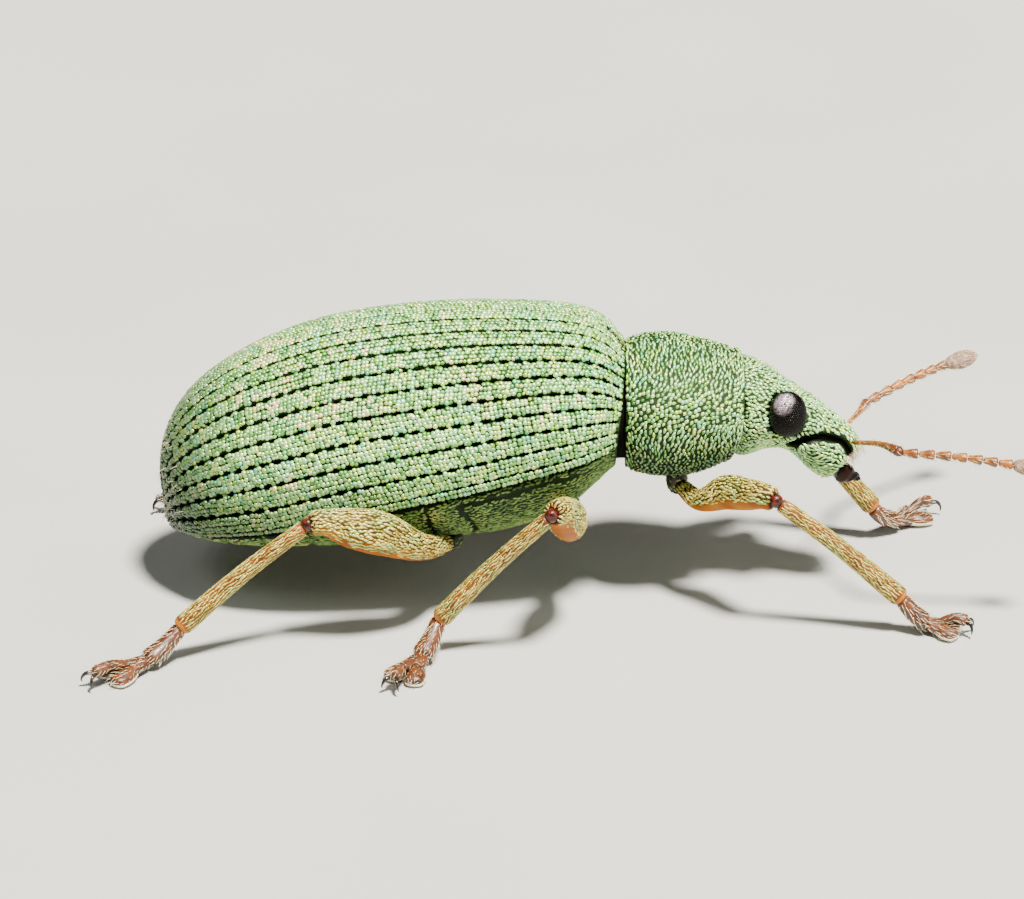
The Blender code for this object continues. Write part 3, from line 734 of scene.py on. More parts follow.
belly_paint = Paint("belly_scales", roughness=0.46, metallic=0.25)
belly_tone = belly_paint.attribute("tone")
belly_green = belly_paint.blend(belly_tone, rgb(58, 92, 30), rgb(128, 158, 74))
belly_paint.colour(belly_paint.two_tone(0.4, 0.58, 0.75, belly_green, rgb(164, 170, 92)))
belly_paint.grain(0.012, 0.004, 0.4)

black_paint = mottled("black_horn", rgb(14, 12, 9), rgb(46, 26, 16), blotches=(0.08, 0.45, 0.7),
                      grain=(0.02, 0.004, 0.5), roughness=0.22, coat_weight=0.3, coat_roughness=0.1)
body_paints = (scale_paint, horn_paint, belly_paint, black_paint)
print("body materials:", [paint.material.name for paint in body_paints])

# %% [markdown]
# ## Wing covers
#
# Each cover is a domed plate with ten engraved lines. Along each line runs a row of oblong pits about a
# sixth of a millimetre apart. The grid is closest where the lines run, and the pits are worked out from
# the distance along each line, so that the same rule later keeps the scales out of them.

# %% wing cover surface
PIT_SPACING = 0.168
PIT_HALF_LENGTH = 0.056
PIT_HALF_WIDTH = 0.030
NARROWEST_HALF = 0.15
LINE_BOLDNESS = np.array([1.0, 0.72, 0.75, 0.85, 1.05, 1.05, 0.9, 0.82, 0.82, 0.8, 0.8])
COVER_RADIUS = 1.42
hind = Plate(HIND_SECTIONS, BELLY_TUCK, HEART)
LINE_STOPS = 400
line_shares = np.linspace(0, 1, LINE_STOPS)
line_lengths = []
for number in range(STRIA_COUNT + 1):
    course = hind.point(line_shares, np.full(LINE_STOPS, number * STRIA_STEP))
    line_lengths.append(walked(course))
line_lengths = np.array(line_lengths)


def line_place(share, angle):
    """For each place: distance across to its nearest line and along to that line's nearest pit, in mm."""
    number = np.clip(np.rint(np.abs(angle) / STRIA_STEP), 1, STRIA_COUNT).astype(int)
    half = spline(HIND_SECTIONS, share)[..., 4]
    across = (np.abs(angle) - number * STRIA_STEP) * np.maximum(half, NARROWEST_HALF) / LINE_BOLDNESS[number]
    length = np.empty_like(share, dtype=float)
    for k in range(1, STRIA_COUNT + 1):
        chosen = number == k
        length[chosen] = np.interp(share[chosen], line_shares, line_lengths[k])
    pits = length / PIT_SPACING + number * 0.37
    along = pits % 1.0 - 0.5
    # some pits are a little longer than others
    stretch = 1.0 + 0.22 * np.sin(np.floor(pits) * 2.4 + number * 1.7)
    return across, along * PIT_SPACING / stretch


def pit_share(share, angle):
    """1 in the middle of a pit, 0 outside, and the distance across the line."""
    across, along = line_place(share, angle)
    return np.exp(-(across / PIT_HALF_WIDTH) ** 2 - (along / PIT_HALF_LENGTH) ** 4), across


def cover_relief(share, angle, point):
    """How far the horn lies under the smooth plate: lines, pits and the turned margin."""
    pit, across = pit_share(share, angle)
    ends = np.clip(share / 0.03, 0, 1) * np.clip((1 - share) / 0.05, 0, 1)
    lip = 0.16 * np.clip((np.abs(angle) - MARGIN_ANGLE) / 0.03, 0, 1)
    return (0.016 * hill(across, 0.020) + 0.045 * pit) * ends + lip


cover = Plate(HIND_SECTIONS, BELLY_TUCK, HEART, relief=cover_relief, reach=(0.035, 0.0))
print("each line is", np.round(line_lengths[1:, -1], 2), "mm long")

# %% wing cover plates
LINE_OFFSETS = (-0.080, -0.045, -0.030, -0.018, -0.008, 0.0, 0.008, 0.018, 0.030, 0.045)
FRONT_TURN, SEAM_TURN = 0.22, 0.06


def cover_angles():
    """Angles across a cover: close together at each line, few between."""
    angles = [0.0, 0.02]
    for number in range(1, STRIA_COUNT + 1):
        angles += [number * STRIA_STEP + offset / COVER_RADIUS for offset in LINE_OFFSETS]
    return np.array(angles + [MARGIN_ANGLE + offset for offset in (-0.02, 0.0, 0.015, 0.03)])


cover_shares = np.concatenate([np.linspace(0, 0.94, 330, endpoint=False), np.linspace(0.94, 0.999, 30)])
for side, sign in SIDES:
    angles = cover_angles() * sign
    share, angle = np.meshgrid(cover_shares, angles, indexing="ij")
    open_base = SCUTELLUM_ANGLE * np.clip(1 - share / SCUTELLUM_SHARE, 0, 1)
    angle = sign * np.maximum(np.abs(angle), open_base)
    points = cover.point(share, angle, SKIN_SINK)
    # the front rim and the seam turn down a little, which gives the plate its thickness
    front = cover.point(np.zeros_like(angle[0]), angle[0], FRONT_TURN)[None]
    points = np.concatenate([front, points], 0)
    seam = points[:, :1] - UP * SEAM_TURN
    points = np.concatenate([seam, points], 1)
    points[..., 1] += sign * COVER_SHIFT
    rows, columns = points.shape[:2]
    run = np.repeat(np.concatenate([[0], cover_shares]), columns)
    wide = np.tile(np.concatenate([[0], angles]), rows)
    faces = grid_faces(rows, columns)
    faces = faces if sign < 0 else faces[:, ::-1]
    middling = np.full(len(run), 0.5)
    values = {"run": run, "tone": middling, "hue": middling, "bare": pit_share(run, wide)[0]}
    new_piece("cover_horn_" + side, points.reshape(-1, 3), [faces], horn_paint, ("elytron_" + side,),
              "cover", values, map_place(run, wide))
    print("cover", side, rows * columns, "corners")

# %% [markdown]
# ## Scales of the wing covers
#
# Between two lines the scales stand in four or five crowded files along the beetle. Files are walked at
# one scale's length a step, every second one set half a step on, and each scale is nudged a little. Where
# an interval narrows to the tail a file drops out. Scales leave the pits bare, and almost close the line
# between two pits.

# %% cover scales
SCALE_STEP = 0.055
SCALE_SIZE = 0.063
FILE_STOPS = 900
PIT_EDGE = 0.028
PIT_PUSH = 0.013
LINE_PUSH = 0.006


def cover_roots(sign):
    """Places of one cover's scales, file by file, and how close each stands to a pit."""
    shares, angles = [], []
    steps = np.linspace(0.004, 0.995, FILE_STOPS)
    edges = [k * STRIA_STEP for k in range(STRIA_COUNT + 1)] + [MARGIN_ANGLE]
    for low, high in zip(edges[:-1], edges[1:]):
        lines = [hind.point(steps, np.full(FILE_STOPS, edge)) for edge in (low, high)]
        width = np.linalg.norm(lines[0] - lines[1], axis=1)
        files = np.maximum(1, np.rint(width / SCALE_STEP)).astype(int)
        for file in range(files.max()):
            angle = low + (high - low) * (file + 0.5) / files
            gone = walked(hind.point(steps, angle))
            stops = np.arange(SCALE_STEP * (0.3 + 0.5 * (file % 2)), gone[-1], SCALE_STEP * 0.94)
            stops = stops + (random.random(len(stops)) - 0.5) * 0.020
            share = np.interp(stops, gone, steps)
            keep = np.interp(share, steps, files) > file + 0.5
            shares.append(share[keep])
            angles.append(np.interp(share[keep], steps, angle))
    share = np.concatenate(shares)
    angle = np.concatenate(angles)
    angle = np.clip(angle + (random.random(len(share)) - 0.5) * 0.011, 0.004, MARGIN_ANGLE)
    # scales beside a pit stand back from it and are narrower
    across, along = line_place(share, angle)
    beside = hill(along, 0.042, 4) * hill(np.abs(across) - PIT_EDGE, 0.030)
    near_line = hill(np.abs(across) - PIT_EDGE, 0.020)
    half = np.maximum(spline(HIND_SECTIONS, share)[..., 4], NARROWEST_HALF)
    angle = angle + np.sign(across) * (PIT_PUSH * beside + LINE_PUSH * near_line) / half
    open_base = 1.15 * SCUTELLUM_ANGLE * np.clip(1 - share / SCUTELLUM_SHARE, 0, 1)
    keep = (angle > open_base) & (angle < MARGIN_ANGLE)
    return share[keep], sign * angle[keep], beside[keep]


for side, sign in SIDES:
    share, angle, beside = cover_roots(sign)
    size = SCALE_SIZE * wobble(len(share), 0.13)
    grow("cover_scales_" + side, DOME, cover, (share, angle), scale_paint,
         size=(size * 1.04, size * (1 - 0.25 * beside), 0.014), vary=(0, 0, 0.3), stray=16,
         depth=SKIN_SINK - 0.006, shift=sign * COVER_SHIFT, tilt=(9, 5), slot="cover")

REAR_HAIRS = 90
rear_share = 0.80 + 0.19 * random.random(REAR_HAIRS)
rear_angle = (random.random(REAR_HAIRS) * 2 - 1) * 1.6
rear_places = turned(frame_at(cover, rear_share, rear_angle, SKIN_SINK), random.normal(0, 15, REAR_HAIRS))

# %% [markdown]
# ## Hind body, prothorax and head
#
# The belly plate shows under the covers' edge and carries the hip sockets. The prothorax is a short
# barrel with crowded narrow scales that lie across it. The head tapers into a short snout with a glossy
# groove on each side, where the feeler folds away. Each leg is written here as five points, because the
# hips need the first of them.

# %% leg courses
# hip, thigh's bow, knee, ankle as x y z, and the claws as x y
LEGS = {
    "front_right": (
        (1.27, -0.38, 1.36), (1.85, -0.96, 1.55), (2.41, -1.50, 1.69),
        (3.92, -1.52, 0.42), (4.76, -1.63),
    ),
    "front_left": (
        (1.27, 0.38, 1.36), (1.90, 0.88, 1.52), (2.50, 1.04, 1.74),
        (3.71, 1.00, 0.40), (4.50, 1.75),
    ),
    "mid_right": (
        (0.00, -0.66, 1.13), (-0.02, -1.50, 1.45), (-0.23, -2.25, 1.86),
        (-1.55, -2.03, 0.40), (-2.11, -3.20),
    ),
    "mid_left": (
        (0.00, 0.66, 1.13), (-0.05, 1.45, 1.34), (-0.10, 2.15, 1.80),
        (-1.35, 2.12, 0.40), (-1.95, 3.20),
    ),
    "hind_right": (
        (-1.37, -0.80, 0.77), (-2.20, -1.74, 1.38), (-3.07, -1.95, 1.60),
        (-4.58, -2.25, 0.40), (-5.64, -3.06),
    ),
    "hind_left": (
        (-1.37, 0.80, 0.77), (-2.10, 1.76, 1.36), (-2.75, 2.10, 1.68),
        (-4.00, 1.62, 0.40), (-5.08, 1.76),
    ),
}
for leg, course in LEGS.items():
    print(leg, "knee to ankle", round(math.dist(course[2], course[3]), 2), "mm")

# %% hind body
# sutures of the flank as seen from the side: length along the body and height across the view, in mm
FLANK_SUTURES = (
    ((-1.30, 0.82), (-0.78, 0.94), (-0.35, 1.07), (0.07, 1.18)),
    ((-1.30, 0.82), (-1.21, 0.70), (-1.13, 0.58), (-1.16, 0.42)),
    ((-1.66, 0.90), (-1.69, 0.78), (-1.66, 0.64), (-1.56, 0.46)),
)
VIEW_RISE, VIEW_NEAR = math.cos(math.radians(25)), math.sin(math.radians(25))


def suture_distance(point):
    """Distance in the side view from each point of the belly to the nearest suture."""
    seen = np.stack([point[..., 0], VIEW_RISE * point[..., 2] - VIEW_NEAR * np.abs(point[..., 1])], -1)
    flat = np.column_stack([seen.reshape(-1, 2), np.zeros(seen[..., 0].size)])
    near = (flat[:, 0] > -1.9) & (flat[:, 0] < 0.3)
    best = np.full(len(flat), FAR_OFF)
    for suture in FLANK_SUTURES:
        line = spline(suture, np.linspace(0, 1, 40))
        distance = nearest_distance(flat[near], np.pad(line, ((0, 0), (0, 1))))
        best[near] = np.minimum(best[near], distance)
    return best.reshape(point.shape[:-1])


def belly_relief(share, angle, point):
    """Sutures, the part under the covers, seams and faint waves."""
    sutures = 0.04 * hill(suture_distance(point), 0.020)
    under_cover = 0.20 * np.clip((MARGIN_ANGLE + 0.06 - np.abs(angle)) / 0.05, 0, 1)
    seams = sum(0.04 * hill(share - seam, 0.006) for seam in BELLY_SEAMS)
    return sutures + under_cover + seams + 0.004 * np.sin(share * 60.0) + 0.10 * share ** 8


belly = Plate(HIND_SECTIONS, BELLY_TUCK, HEART, relief=belly_relief, reach=(0.03, 0.0))
ring_angles = full_turn(180)
belly_shares = np.linspace(0, 0.995, 240)
skin("belly_horn", belly, belly_shares, full_turn(240), horn_paint, SKIN_SINK,
     nodes=("hindbody",), slot="body")
for side, sign in SIDES[::-1]:
    share, angle = spread(belly, (0.01, 0.97), (MARGIN_ANGLE + 0.05, math.pi), 0.040)
    # painted shadow line: from the hip backwards a band under the cover's margin is left bare, showing black
    # horn
    shadow_line_edge = MARGIN_ANGLE + 0.05 + 0.07 * np.clip((share - 0.35) / 0.2, 0, 1)
    keep = (suture_distance(hind.point(share, angle)) > 0.028) & (angle > shadow_line_edge)
    grow("belly_scales_" + side, LANCE, belly, (share[keep], angle[keep] * sign), belly_paint,
         size=(0.068, 0.032, 0.010), vary=(0.2, 0.2, 0), stray=20, depth=SKIN_SINK, slot="body")

# %% hips and waist


class Ball:
    """An ellipsoid; share runs from its front pole to its rear pole."""

    def __init__(self, centre, radii):
        self.centre = np.array(centre, float)
        self.radii = np.array(radii, float)

    def point(self, share, angle, depth=0.0):
        share, angle = np.broadcast_arrays(np.asarray(share, float), np.asarray(angle, float))
        turn = share * math.pi
        ball = np.stack([np.cos(turn), np.sin(turn) * np.sin(angle), np.sin(turn) * np.cos(angle)], -1)
        return self.centre + ball * (self.radii - depth)


coarse_ring = full_turn(28)
HIP_RADII = {"front": (0.13, 0.14, 0.20), "mid": (0.12, 0.14, 0.14), "hind": (0.11, 0.13, 0.13)}
hip_paint = mottled("hip_horn", rgb(10, 10, 4), rgb(40, 30, 10), blotches=(0.15, 0.4, 0.7),
                    grain=(0.03, 0.005, 0.6), roughness=0.45, specular_ior_level=0.3)
for leg, course in LEGS.items():
    x, y, z = course[0]
    hip = Ball((x, y * 0.94, z + 0.10), HIP_RADII[leg.split("_")[0]])
    skin("hip_" + leg, hip, np.linspace(0.02, 0.98, 24), coarse_ring, hip_paint, slot="body")
    grow("hip_hair_" + leg, LANCE, hip, spread(hip, (0.05, 0.95), AROUND, 0.062), belly_paint,
         size=(0.08, 0.018, 0.008), lie=180, stray=30, tones=0.7, tilt=(8, 0), slot="body")

# inside the body a dark collar joins the prothorax to the hind body
WAIST = ((0.35, 0.0, 2.25, 0.78, 0.62), (0.65, 0.0, 2.26, 0.74, 0.62), (0.95, 0.0, 2.25, 0.78, 0.64))
collar_paint = Paint("collar_membrane", roughness=0.8, specular_ior_level=0.05)
collar_paint.colour(collar_paint.blend(collar_paint.noise(0.1), rgb(4, 3, 2), rgb(16, 12, 6)))
collar_paint.grain(0.04, 0.008, 0.6)
waist_shares = np.linspace(0.01, 0.99, 24)
skin("waist_collar", Tube(WAIST, 0.02, 0.02), waist_shares, ring_angles[::2], collar_paint, slot="body")
print("hips", len(LEGS), "waist collar", round(WAIST[-1][0] - WAIST[0][0], 2), "mm long")

# %% prothorax


def prothorax_relief(share, angle, point):
    """A tucked rear edge, a rounded front rim and waves over the back."""
    rear = 0.035 * hill(share, 0.03)
    front = 0.075 * np.clip((share - 0.95) / 0.05, 0, 1) ** 2 - 0.006 * hill(share - 0.945, 0.02)
    front = front + 0.018 * hill(share - 0.90, 0.018)
    waves = 0.010 * np.sin(share * 70 + 3 * np.sin(angle * 7)) * np.clip(1 - np.abs(angle) / 1.2, 0, 1)
    return rear + front + waves


prothorax = Plate(PROTHORAX_SECTIONS, relief=prothorax_relief, reach=(-0.025, 0.03))
skin("prothorax_horn", prothorax, np.linspace(0, 1, 110), ring_angles, horn_paint, SKIN_SINK,
     nodes=("prothorax",), slot="body")
share, angle = spread(prothorax, (0.005, 0.99), AROUND, 0.043)
# scales lie across the barrel on its top and low on its sides, and are rounder between
middle = hill(np.abs(angle) - 1.15, 0.35)
lie = -np.sign(angle) * (90 - 45 * middle)
grow("prothorax_scales", LANCE, prothorax, (share, angle), scale_paint,
     size=(0.088 - 0.024 * middle, 0.029 + 0.019 * middle, 0.015), vary=(0.20, 0.20, 0.3),
     lie=lie, stray=13, depth=SKIN_SINK - 0.006, tilt=(9, 8), slot="body")

# %% head surface
bare_head = Plate(HEAD_SECTIONS)
stops = spline(SCROBE_COURSE, np.linspace(0, 1, 60))
scrobes = np.vstack([bare_head.point(stops[:, 0], sign * np.radians(stops[:, 1])) for sign in (1, -1)])


def eye_reach(point):
    """1 at the eye's surface, less inside, more outside, in the head's own unrolled place."""
    best = np.full(point.shape[:-1], FAR_OFF)
    for sign in (1, -1):
        away = (point - mirrored(EYE_CENTRE, sign)) / np.array(EYE_RADII)
        best = np.minimum(best, np.linalg.norm(away, axis=-1))
    return best


def head_relief(share, angle, point):
    """Grooves for the feelers, a rim at the eyes, a middle furrow, mouth and neck."""
    groove = 0.085 * hill(nearest_distance(point, scrobes), 0.050)
    rim = 0.035 * hill(eye_reach(point) - 1.0, 0.10)
    furrow = 0.03 * hill(angle, 0.06) * hill(share - 0.55, 0.22)
    mouth = 0.05 * np.clip((share - 0.95) / 0.05, 0, 1) ** 2
    tuck = (0.012 + 0.07 * np.clip(np.abs(angle) - 1.0, 0, 1)) * hill(share, 0.030)
    return groove + rim + furrow + mouth + tuck


head = Plate(HEAD_SECTIONS, roll=HEAD_ROLL, relief=head_relief, reach=(-0.10, 0.0))
print("the head rolls", round(math.degrees(HEAD_ROLL)), "degrees")

# %% head skin and scales
head_shares = np.linspace(0, 1, 160)
head_ring = full_turn(260)
skin_share, skin_angle = (net.ravel() for net in np.meshgrid(head_shares, head_ring, indexing="ij"))
skin_point = bare_head.point(skin_share, skin_angle)
# the horn is bare and glossy in the groove, round the eye, at the mouth and in the fold of the neck
bare = np.maximum(hill(nearest_distance(skin_point, scrobes), 0.062, 4),
                  hill(eye_reach(skin_point) - 1.0, 0.16))
bare = np.maximum(bare, np.clip((skin_share - 0.975) / 0.02, 0, 1))
bare = np.maximum(bare, hill(skin_share, 0.035))
skin("head_horn", head, head_shares, head_ring, horn_paint, SKIN_SINK, nodes=("head",), slot="body",
     extra={"bare": np.append(bare, [1.0, 1.0])})
share, angle = spread(head, (0.02, 0.975), AROUND, 0.037)
bare_point = bare_head.point(share, angle)
keep = (eye_reach(bare_point) > 1.09) & (nearest_distance(bare_point, scrobes) > 0.070)
share, angle = share[keep], angle[keep]
count = len(share)
snout = np.clip((share - 0.30) / 0.25, 0, 1)
low = np.clip((np.abs(np.degrees(angle)) - 85) / 20, 0, 1)
jowl = low * snout
length = (0.070 + 0.045 * jowl) * wobble(count, 0.20)
width = (0.036 - 0.012 * jowl) * wobble(count, 0.20)
crown = np.clip(1 - np.abs(angle) / 0.8, 0, 1) * (1 - snout)
lie = -np.sign(angle) * (28 * jowl + 60 * crown)
grow("head_scales", LANCE, head, (share, angle), scale_paint,
     size=(length, width, 0.014), vary=(0, 0, 0.3), lie=lie, stray=24,
     depth=SKIN_SINK - 0.004, lighter=0.15 * low, tilt=(8, 8), slot="body")

# %% [markdown]
# ## Eyes
#
# A weevil's eye is a dark dome of some hundreds of lenses in a six-sided pattern. Each lens is a low dome
# of its own on the eyeball. In sunlight a patch of lenses on the upper side glitters, each in its own
# strength. A soft lamp is too weak for that, so the glint is painted: the lenses of that patch are given a
# pale pinkish-white, metal-like colour, most of all in the patch's middle.

# %% eyes
eye_paint = mottled("eye_ball", rgb(1, 1, 1), rgb(8, 4, 3), blotches=(0.1, 0.4, 0.7),
                    grain=(0.02, 0.003, 0.4, 2.0), roughness=0.4, specular_ior_level=0.1)
LENS_STEP = 0.110
LENS_REACH = 1.45
LENS_HEIGHT = 0.0045
ROW_STEP = 0.866
# lenses that face this way get a painted glint, which fades out towards the edge below
PAINTED_GLINT_FACING = (-0.26, 0.65, 0.72)
PAINTED_GLINT_EDGE = 0.75
lens_paint = Paint("eye_lens", roughness=0.12, specular_ior_level=0.12)
lens_tone = lens_paint.attribute("tone")
# painted highlight: glinting lenses turn pale pinkish-white and metal-like, by a strength read from run
lens_painted_glint = lens_paint.attribute("run") * (0.06 + lens_tone * 0.90)
lens_dark = lens_paint.blend(lens_tone, rgb(1, 1, 1), rgb(10, 3, 2))
lens_paint.colour(lens_paint.blend(lens_painted_glint, lens_dark, rgb(236, 214, 226)))
lens_paint.feed(lens_paint.shader.inputs["Metallic"], lens_painted_glint)
lens_paint.rough(0.16 + lens_tone * 0.14)


def six_packed(step, reach):
    """Points of a six-sided pattern over a flat disc."""
    points = []
    rows = int(reach / (step * ROW_STEP)) + 1
    for row in range(-rows, rows + 1):
        shift = 0.5 * (row % 2)
        for column in range(-rows - 1, rows + 2):
            x, y = (column + shift) * step, row * step * ROW_STEP
            if math.hypot(x, y) < reach:
                points.append((x, y))
    return np.array(points)


for side, sign in SIDES:
    centre = turn_x(mirrored(EYE_CENTRE, sign), -HEAD_ROLL, HEAD_AXIS_Z)
    skin("eye_ball_" + side, Ball(centre, EYE_RADII), np.linspace(0.01, 0.99, 40), full_turn(60),
         eye_paint, depth=0.008, nodes=("eye_" + side,), slot="eye")
    flat = six_packed(LENS_STEP, LENS_REACH)
    bend = np.hypot(flat[:, 0], flat[:, 1])
    turn = np.arctan2(flat[:, 1], flat[:, 0])
    unit_dome = np.stack([np.sin(bend) * np.cos(turn), np.cos(bend) * sign, np.sin(bend) * np.sin(turn)], -1)
    root = centre + unit_dome * (np.array(EYE_RADII) - 0.006)
    outward = unit(unit_dome / np.array(EYE_RADII))
    along = unit(np.cross(outward, UP))
    count = len(root)
    width = LENS_STEP * EYE_RADII[0] * 1.15
    # the painted glint's strength for each lens goes into its run attribute
    towards = outward @ unit(mirrored(PAINTED_GLINT_FACING, sign))
    painted_glint = np.clip((towards - PAINTED_GLINT_EDGE) / (1 - PAINTED_GLINT_EDGE), 0, 1) ** 1.8
    coat("eye_lenses_" + side, LENS, (root, outward, along), width, width, LENS_HEIGHT, lens_paint,
         0.5 + flat * 0.3, random.random(count), painted_glint, slot="eye")
    print("lenses", count)

# %% [markdown]
# ## Mouthparts
#
# Two short dark jaws close the snout, with pale bristles above them. Each jaw is a tube that bends inward
# and wrinkles towards its tip, which is quicker to shape than a carved block.

# %% jaws
MANDIBLE_ROOT = (3.18, 0.105, 1.47)
jaw_paint = Paint("jaw_horn", roughness=0.4, specular_ior_level=0.15)
jaw_paint.colour(jaw_paint.blend(jaw_paint.attribute("run").step(0.2, 0.9), rgb(34, 13, 6), rgb(8, 3, 2)))
jaw_paint.grain(0.05, 0.012, 0.8, 4.0)
pale_hair = Paint("pale_hair", roughness=0.4)
pale_hair.colour(pale_hair.blend(pale_hair.attribute("tone"), rgb(196, 186, 128), rgb(244, 238, 204)))
pale_hair.rough(0.32 + pale_hair.attribute("tone") * 0.2)
JAW_WAY = np.array([0.93, 0.0, -0.37])
JAW_LENGTH = 0.29
# share of the jaw's length, how far it has bent inward, half width, half height
JAW_STAGES = (
    (0.0, 0.0, 0.10, 0.13), (0.35, -0.01, 0.10, 0.12), (0.7, 0.01, 0.055, 0.055), (1.0, 0.05, 0.015, 0.015),
)


def jaw_relief(share, angle):
    """Slanting wrinkles that grow towards the tip."""
    return 0.012 * np.sin(share * 22 + angle * 2) * share


for side, sign in SIDES:
    root = mirrored(MANDIBLE_ROOT, sign)
    stations = []
    for share, inward, wide, high in JAW_STAGES:
        centre = root + JAW_WAY * JAW_LENGTH * share - np.array([0.0, sign * inward, 0.0])
        centre = turn_x(centre, -HEAD_ROLL, HEAD_AXIS_Z)
        stations.append((*centre, wide, high))
    jaw = Tube(stations, 0.1, 0.06, jaw_relief)
    skin("jaw_" + side, jaw, np.linspace(0.01, 0.99, 30), coarse_ring, jaw_paint,
         nodes=("mandible_" + side,), slot="mandible")
    print("jaw", side, round(jaw.length, 3), "mm")

# %% bristles of the snout and hairs of the body's end
BRISTLES = 150
share = 0.93 + 0.055 * random.random(BRISTLES)
angle = (random.random(BRISTLES) * 2 - 1) * 1.75
bristle_root, bristle_out, bristle_along = frame_at(head, share, angle, SKIN_SINK)
ahead = unit(bristle_along + np.array([0.55, 0.0, -0.25]) + random.normal(0, 0.22, (BRISTLES, 3)))
coat("snout_bristles", HAIR, (bristle_root, bristle_out, ahead), 0.16 * wobble(BRISTLES, 0.35), 0.014,
     0.035 * wobble(BRISTLES, 0.5), pale_hair, map_place(share, angle), random.random(BRISTLES), slot="body")
for side, sign in SIDES:
    mine = np.sign(rear_angle) == sign
    count = int(mine.sum())
    root, outward, along = (part[mine] for part in rear_places)
    root[:, 1] += sign * COVER_SHIFT
    coat("cover_hair_" + side, HAIR, (root, outward, along), 0.14 * wobble(count, 0.3), 0.007,
         0.07 * wobble(count, 0.4), pale_hair, map_place(rear_share[mine], rear_angle[mine]),
         random.random(count), slot="cover")
    print("hairs at the end of the", side, "cover", count)

# %% [markdown]
# ## Feelers
#
# The feeler is an elbowed rod: a long first joint, seven small cone-shaped ones and a spindle-shaped club.
# In life it is about a seventh of a millimetre thick, much thinner than the solid that stands for it. Each
# joint is a tube of its own, because the dark ends between them are what makes it look jointed.

# %% feeler courses and materials
# root, elbow, bend, start of the club and tip
FEELERS = {
    "right": (
        (3.33, -0.37, 1.93), (3.88, -1.18, 2.17), (4.55, -1.24, 2.14), (5.18, -1.26, 2.05),
        (5.66, -1.28, 1.97),
    ),
    "left": (
        (3.235, 0.19, 1.83), (3.60, 1.36, 1.66), (4.12, 1.82, 1.74), (4.60, 2.20, 1.78), (5.00, 2.40, 1.82),
    ),
}
feeler_paint = Paint("feeler_horn", roughness=0.36, coat_weight=0.2)
feeler_brown = feeler_paint.two_tone(0.09, 0.35, 0.7, rgb(104, 52, 6), rgb(164, 96, 14))
joint_end = feeler_paint.attribute("run").step(0.6, 1.0)
feeler_paint.colour(feeler_paint.blend(joint_end, feeler_brown, rgb(84, 34, 14)))
feeler_paint.grain(0.02, 0.004, 0.6)
club_paint = mottled("club_felt", rgb(120, 90, 74), rgb(170, 140, 118), blotches=(0.05, 0.4, 0.7),
                     grain=(0.014, 0.006, 0.8), roughness=0.7)
for side, course in FEELERS.items():
    print(side, "feeler reaches", round(math.dist(course[0], course[-1]), 2), "mm")

# %% feelers
FUNICLE_JOINTS = 7
# share of a joint and its half width there, and the same of the club
JOINT_SWELL = ((0.02, 0.034), (0.30, 0.042), (0.62, 0.055), (0.88, 0.060), (1.0, 0.046))
CLUB_SWELL = ((0.0, 0.045), (0.12, 0.075), (0.35, 0.105), (0.6, 0.108), (0.82, 0.078), (1.0, 0.02))


HAIR_STRAY = 12


def haired(name, tube, spacing, length, lift, thick=0.009, around=math.pi, **more):
    """Short hairs over a tube, all leaning towards its tip, as far around from its top as asked."""
    roots = spread(tube, (0.03, 0.97), (-around, around), spacing)
    grow(name, HAIR, tube, roots, pale_hair,
         size=(length, thick, lift), vary=(0.3, 0, 0.4), stray=HAIR_STRAY, **more)


def club_relief(share, angle):
    """Two seams round the club."""
    return 0.008 * hill(share - 0.36, 0.02) + 0.008 * hill(share - 0.62, 0.02)


for side, course in FEELERS.items():
    root, elbow, bend, club, tip = (np.array(point) for point in course)
    middle = (root + elbow) / 2 + np.array([0.05, 0.0, 0.04])
    scape = Tube([(*root, 0.026, 0.026), (*middle, 0.036, 0.036), (*elbow, 0.070, 0.070)], 0.05, 0.10)
    skin("scape_horn_" + side, scape, np.linspace(0.003, 0.997, 60), coarse_ring, feeler_paint,
         nodes=("scape_" + side,), slot="feeler")
    haired("scape_hair_" + side, scape, 0.05, 0.085, 0.03, slot="feeler")
    for number in range(FUNICLE_JOINTS):
        low, high = number / FUNICLE_JOINTS, (number + 1) / FUNICLE_JOINTS
        stations = [(*spline((elbow, bend, club), low + (high - low) * share), half, half)
                    for share, half in JOINT_SWELL]
        joint = Tube(stations, 0.08, 0.12)
        nodes = ("funicle_" + side,) if number == 0 else ()
        skin(f"funicle_horn_{side}_{number + 1}", joint, np.linspace(0.003, 0.997, 22), coarse_ring,
             feeler_paint, nodes=nodes, slot="feeler")
        haired(f"funicle_hair_{side}_{number + 1}", joint, 0.042, 0.075, 0.035, slot="feeler")
    stations = [(*(club + (tip - club) * share), half, half) for share, half in CLUB_SWELL]
    club_tube = Tube(stations, 0.05, 0.08, club_relief)
    skin("club_felt_" + side, club_tube, np.linspace(0.003, 0.997, 60), coarse_ring, club_paint,
         nodes=("club_" + side,), slot="feeler")
    haired("club_hair_" + side, club_tube, 0.028, 0.05, 0.018, thick=0.006, slot="feeler")
    print("feeler", side, "scape", round(scape.length, 2), "club", round(club_tube.length, 2), "mm")

# %% [markdown]
# ## Legs
#
# Each leg is a swollen thigh, a straight shin and a foot of four joints. The thigh is pale amber under
# narrow whitish scales, and its knee is a dark glossy red-brown. The foot's third joint is split in two
# felted pads, and the last carries a pair of black hooks. All of them are tubes along a few stations, so a
# leg follows its five points wherever they are put.

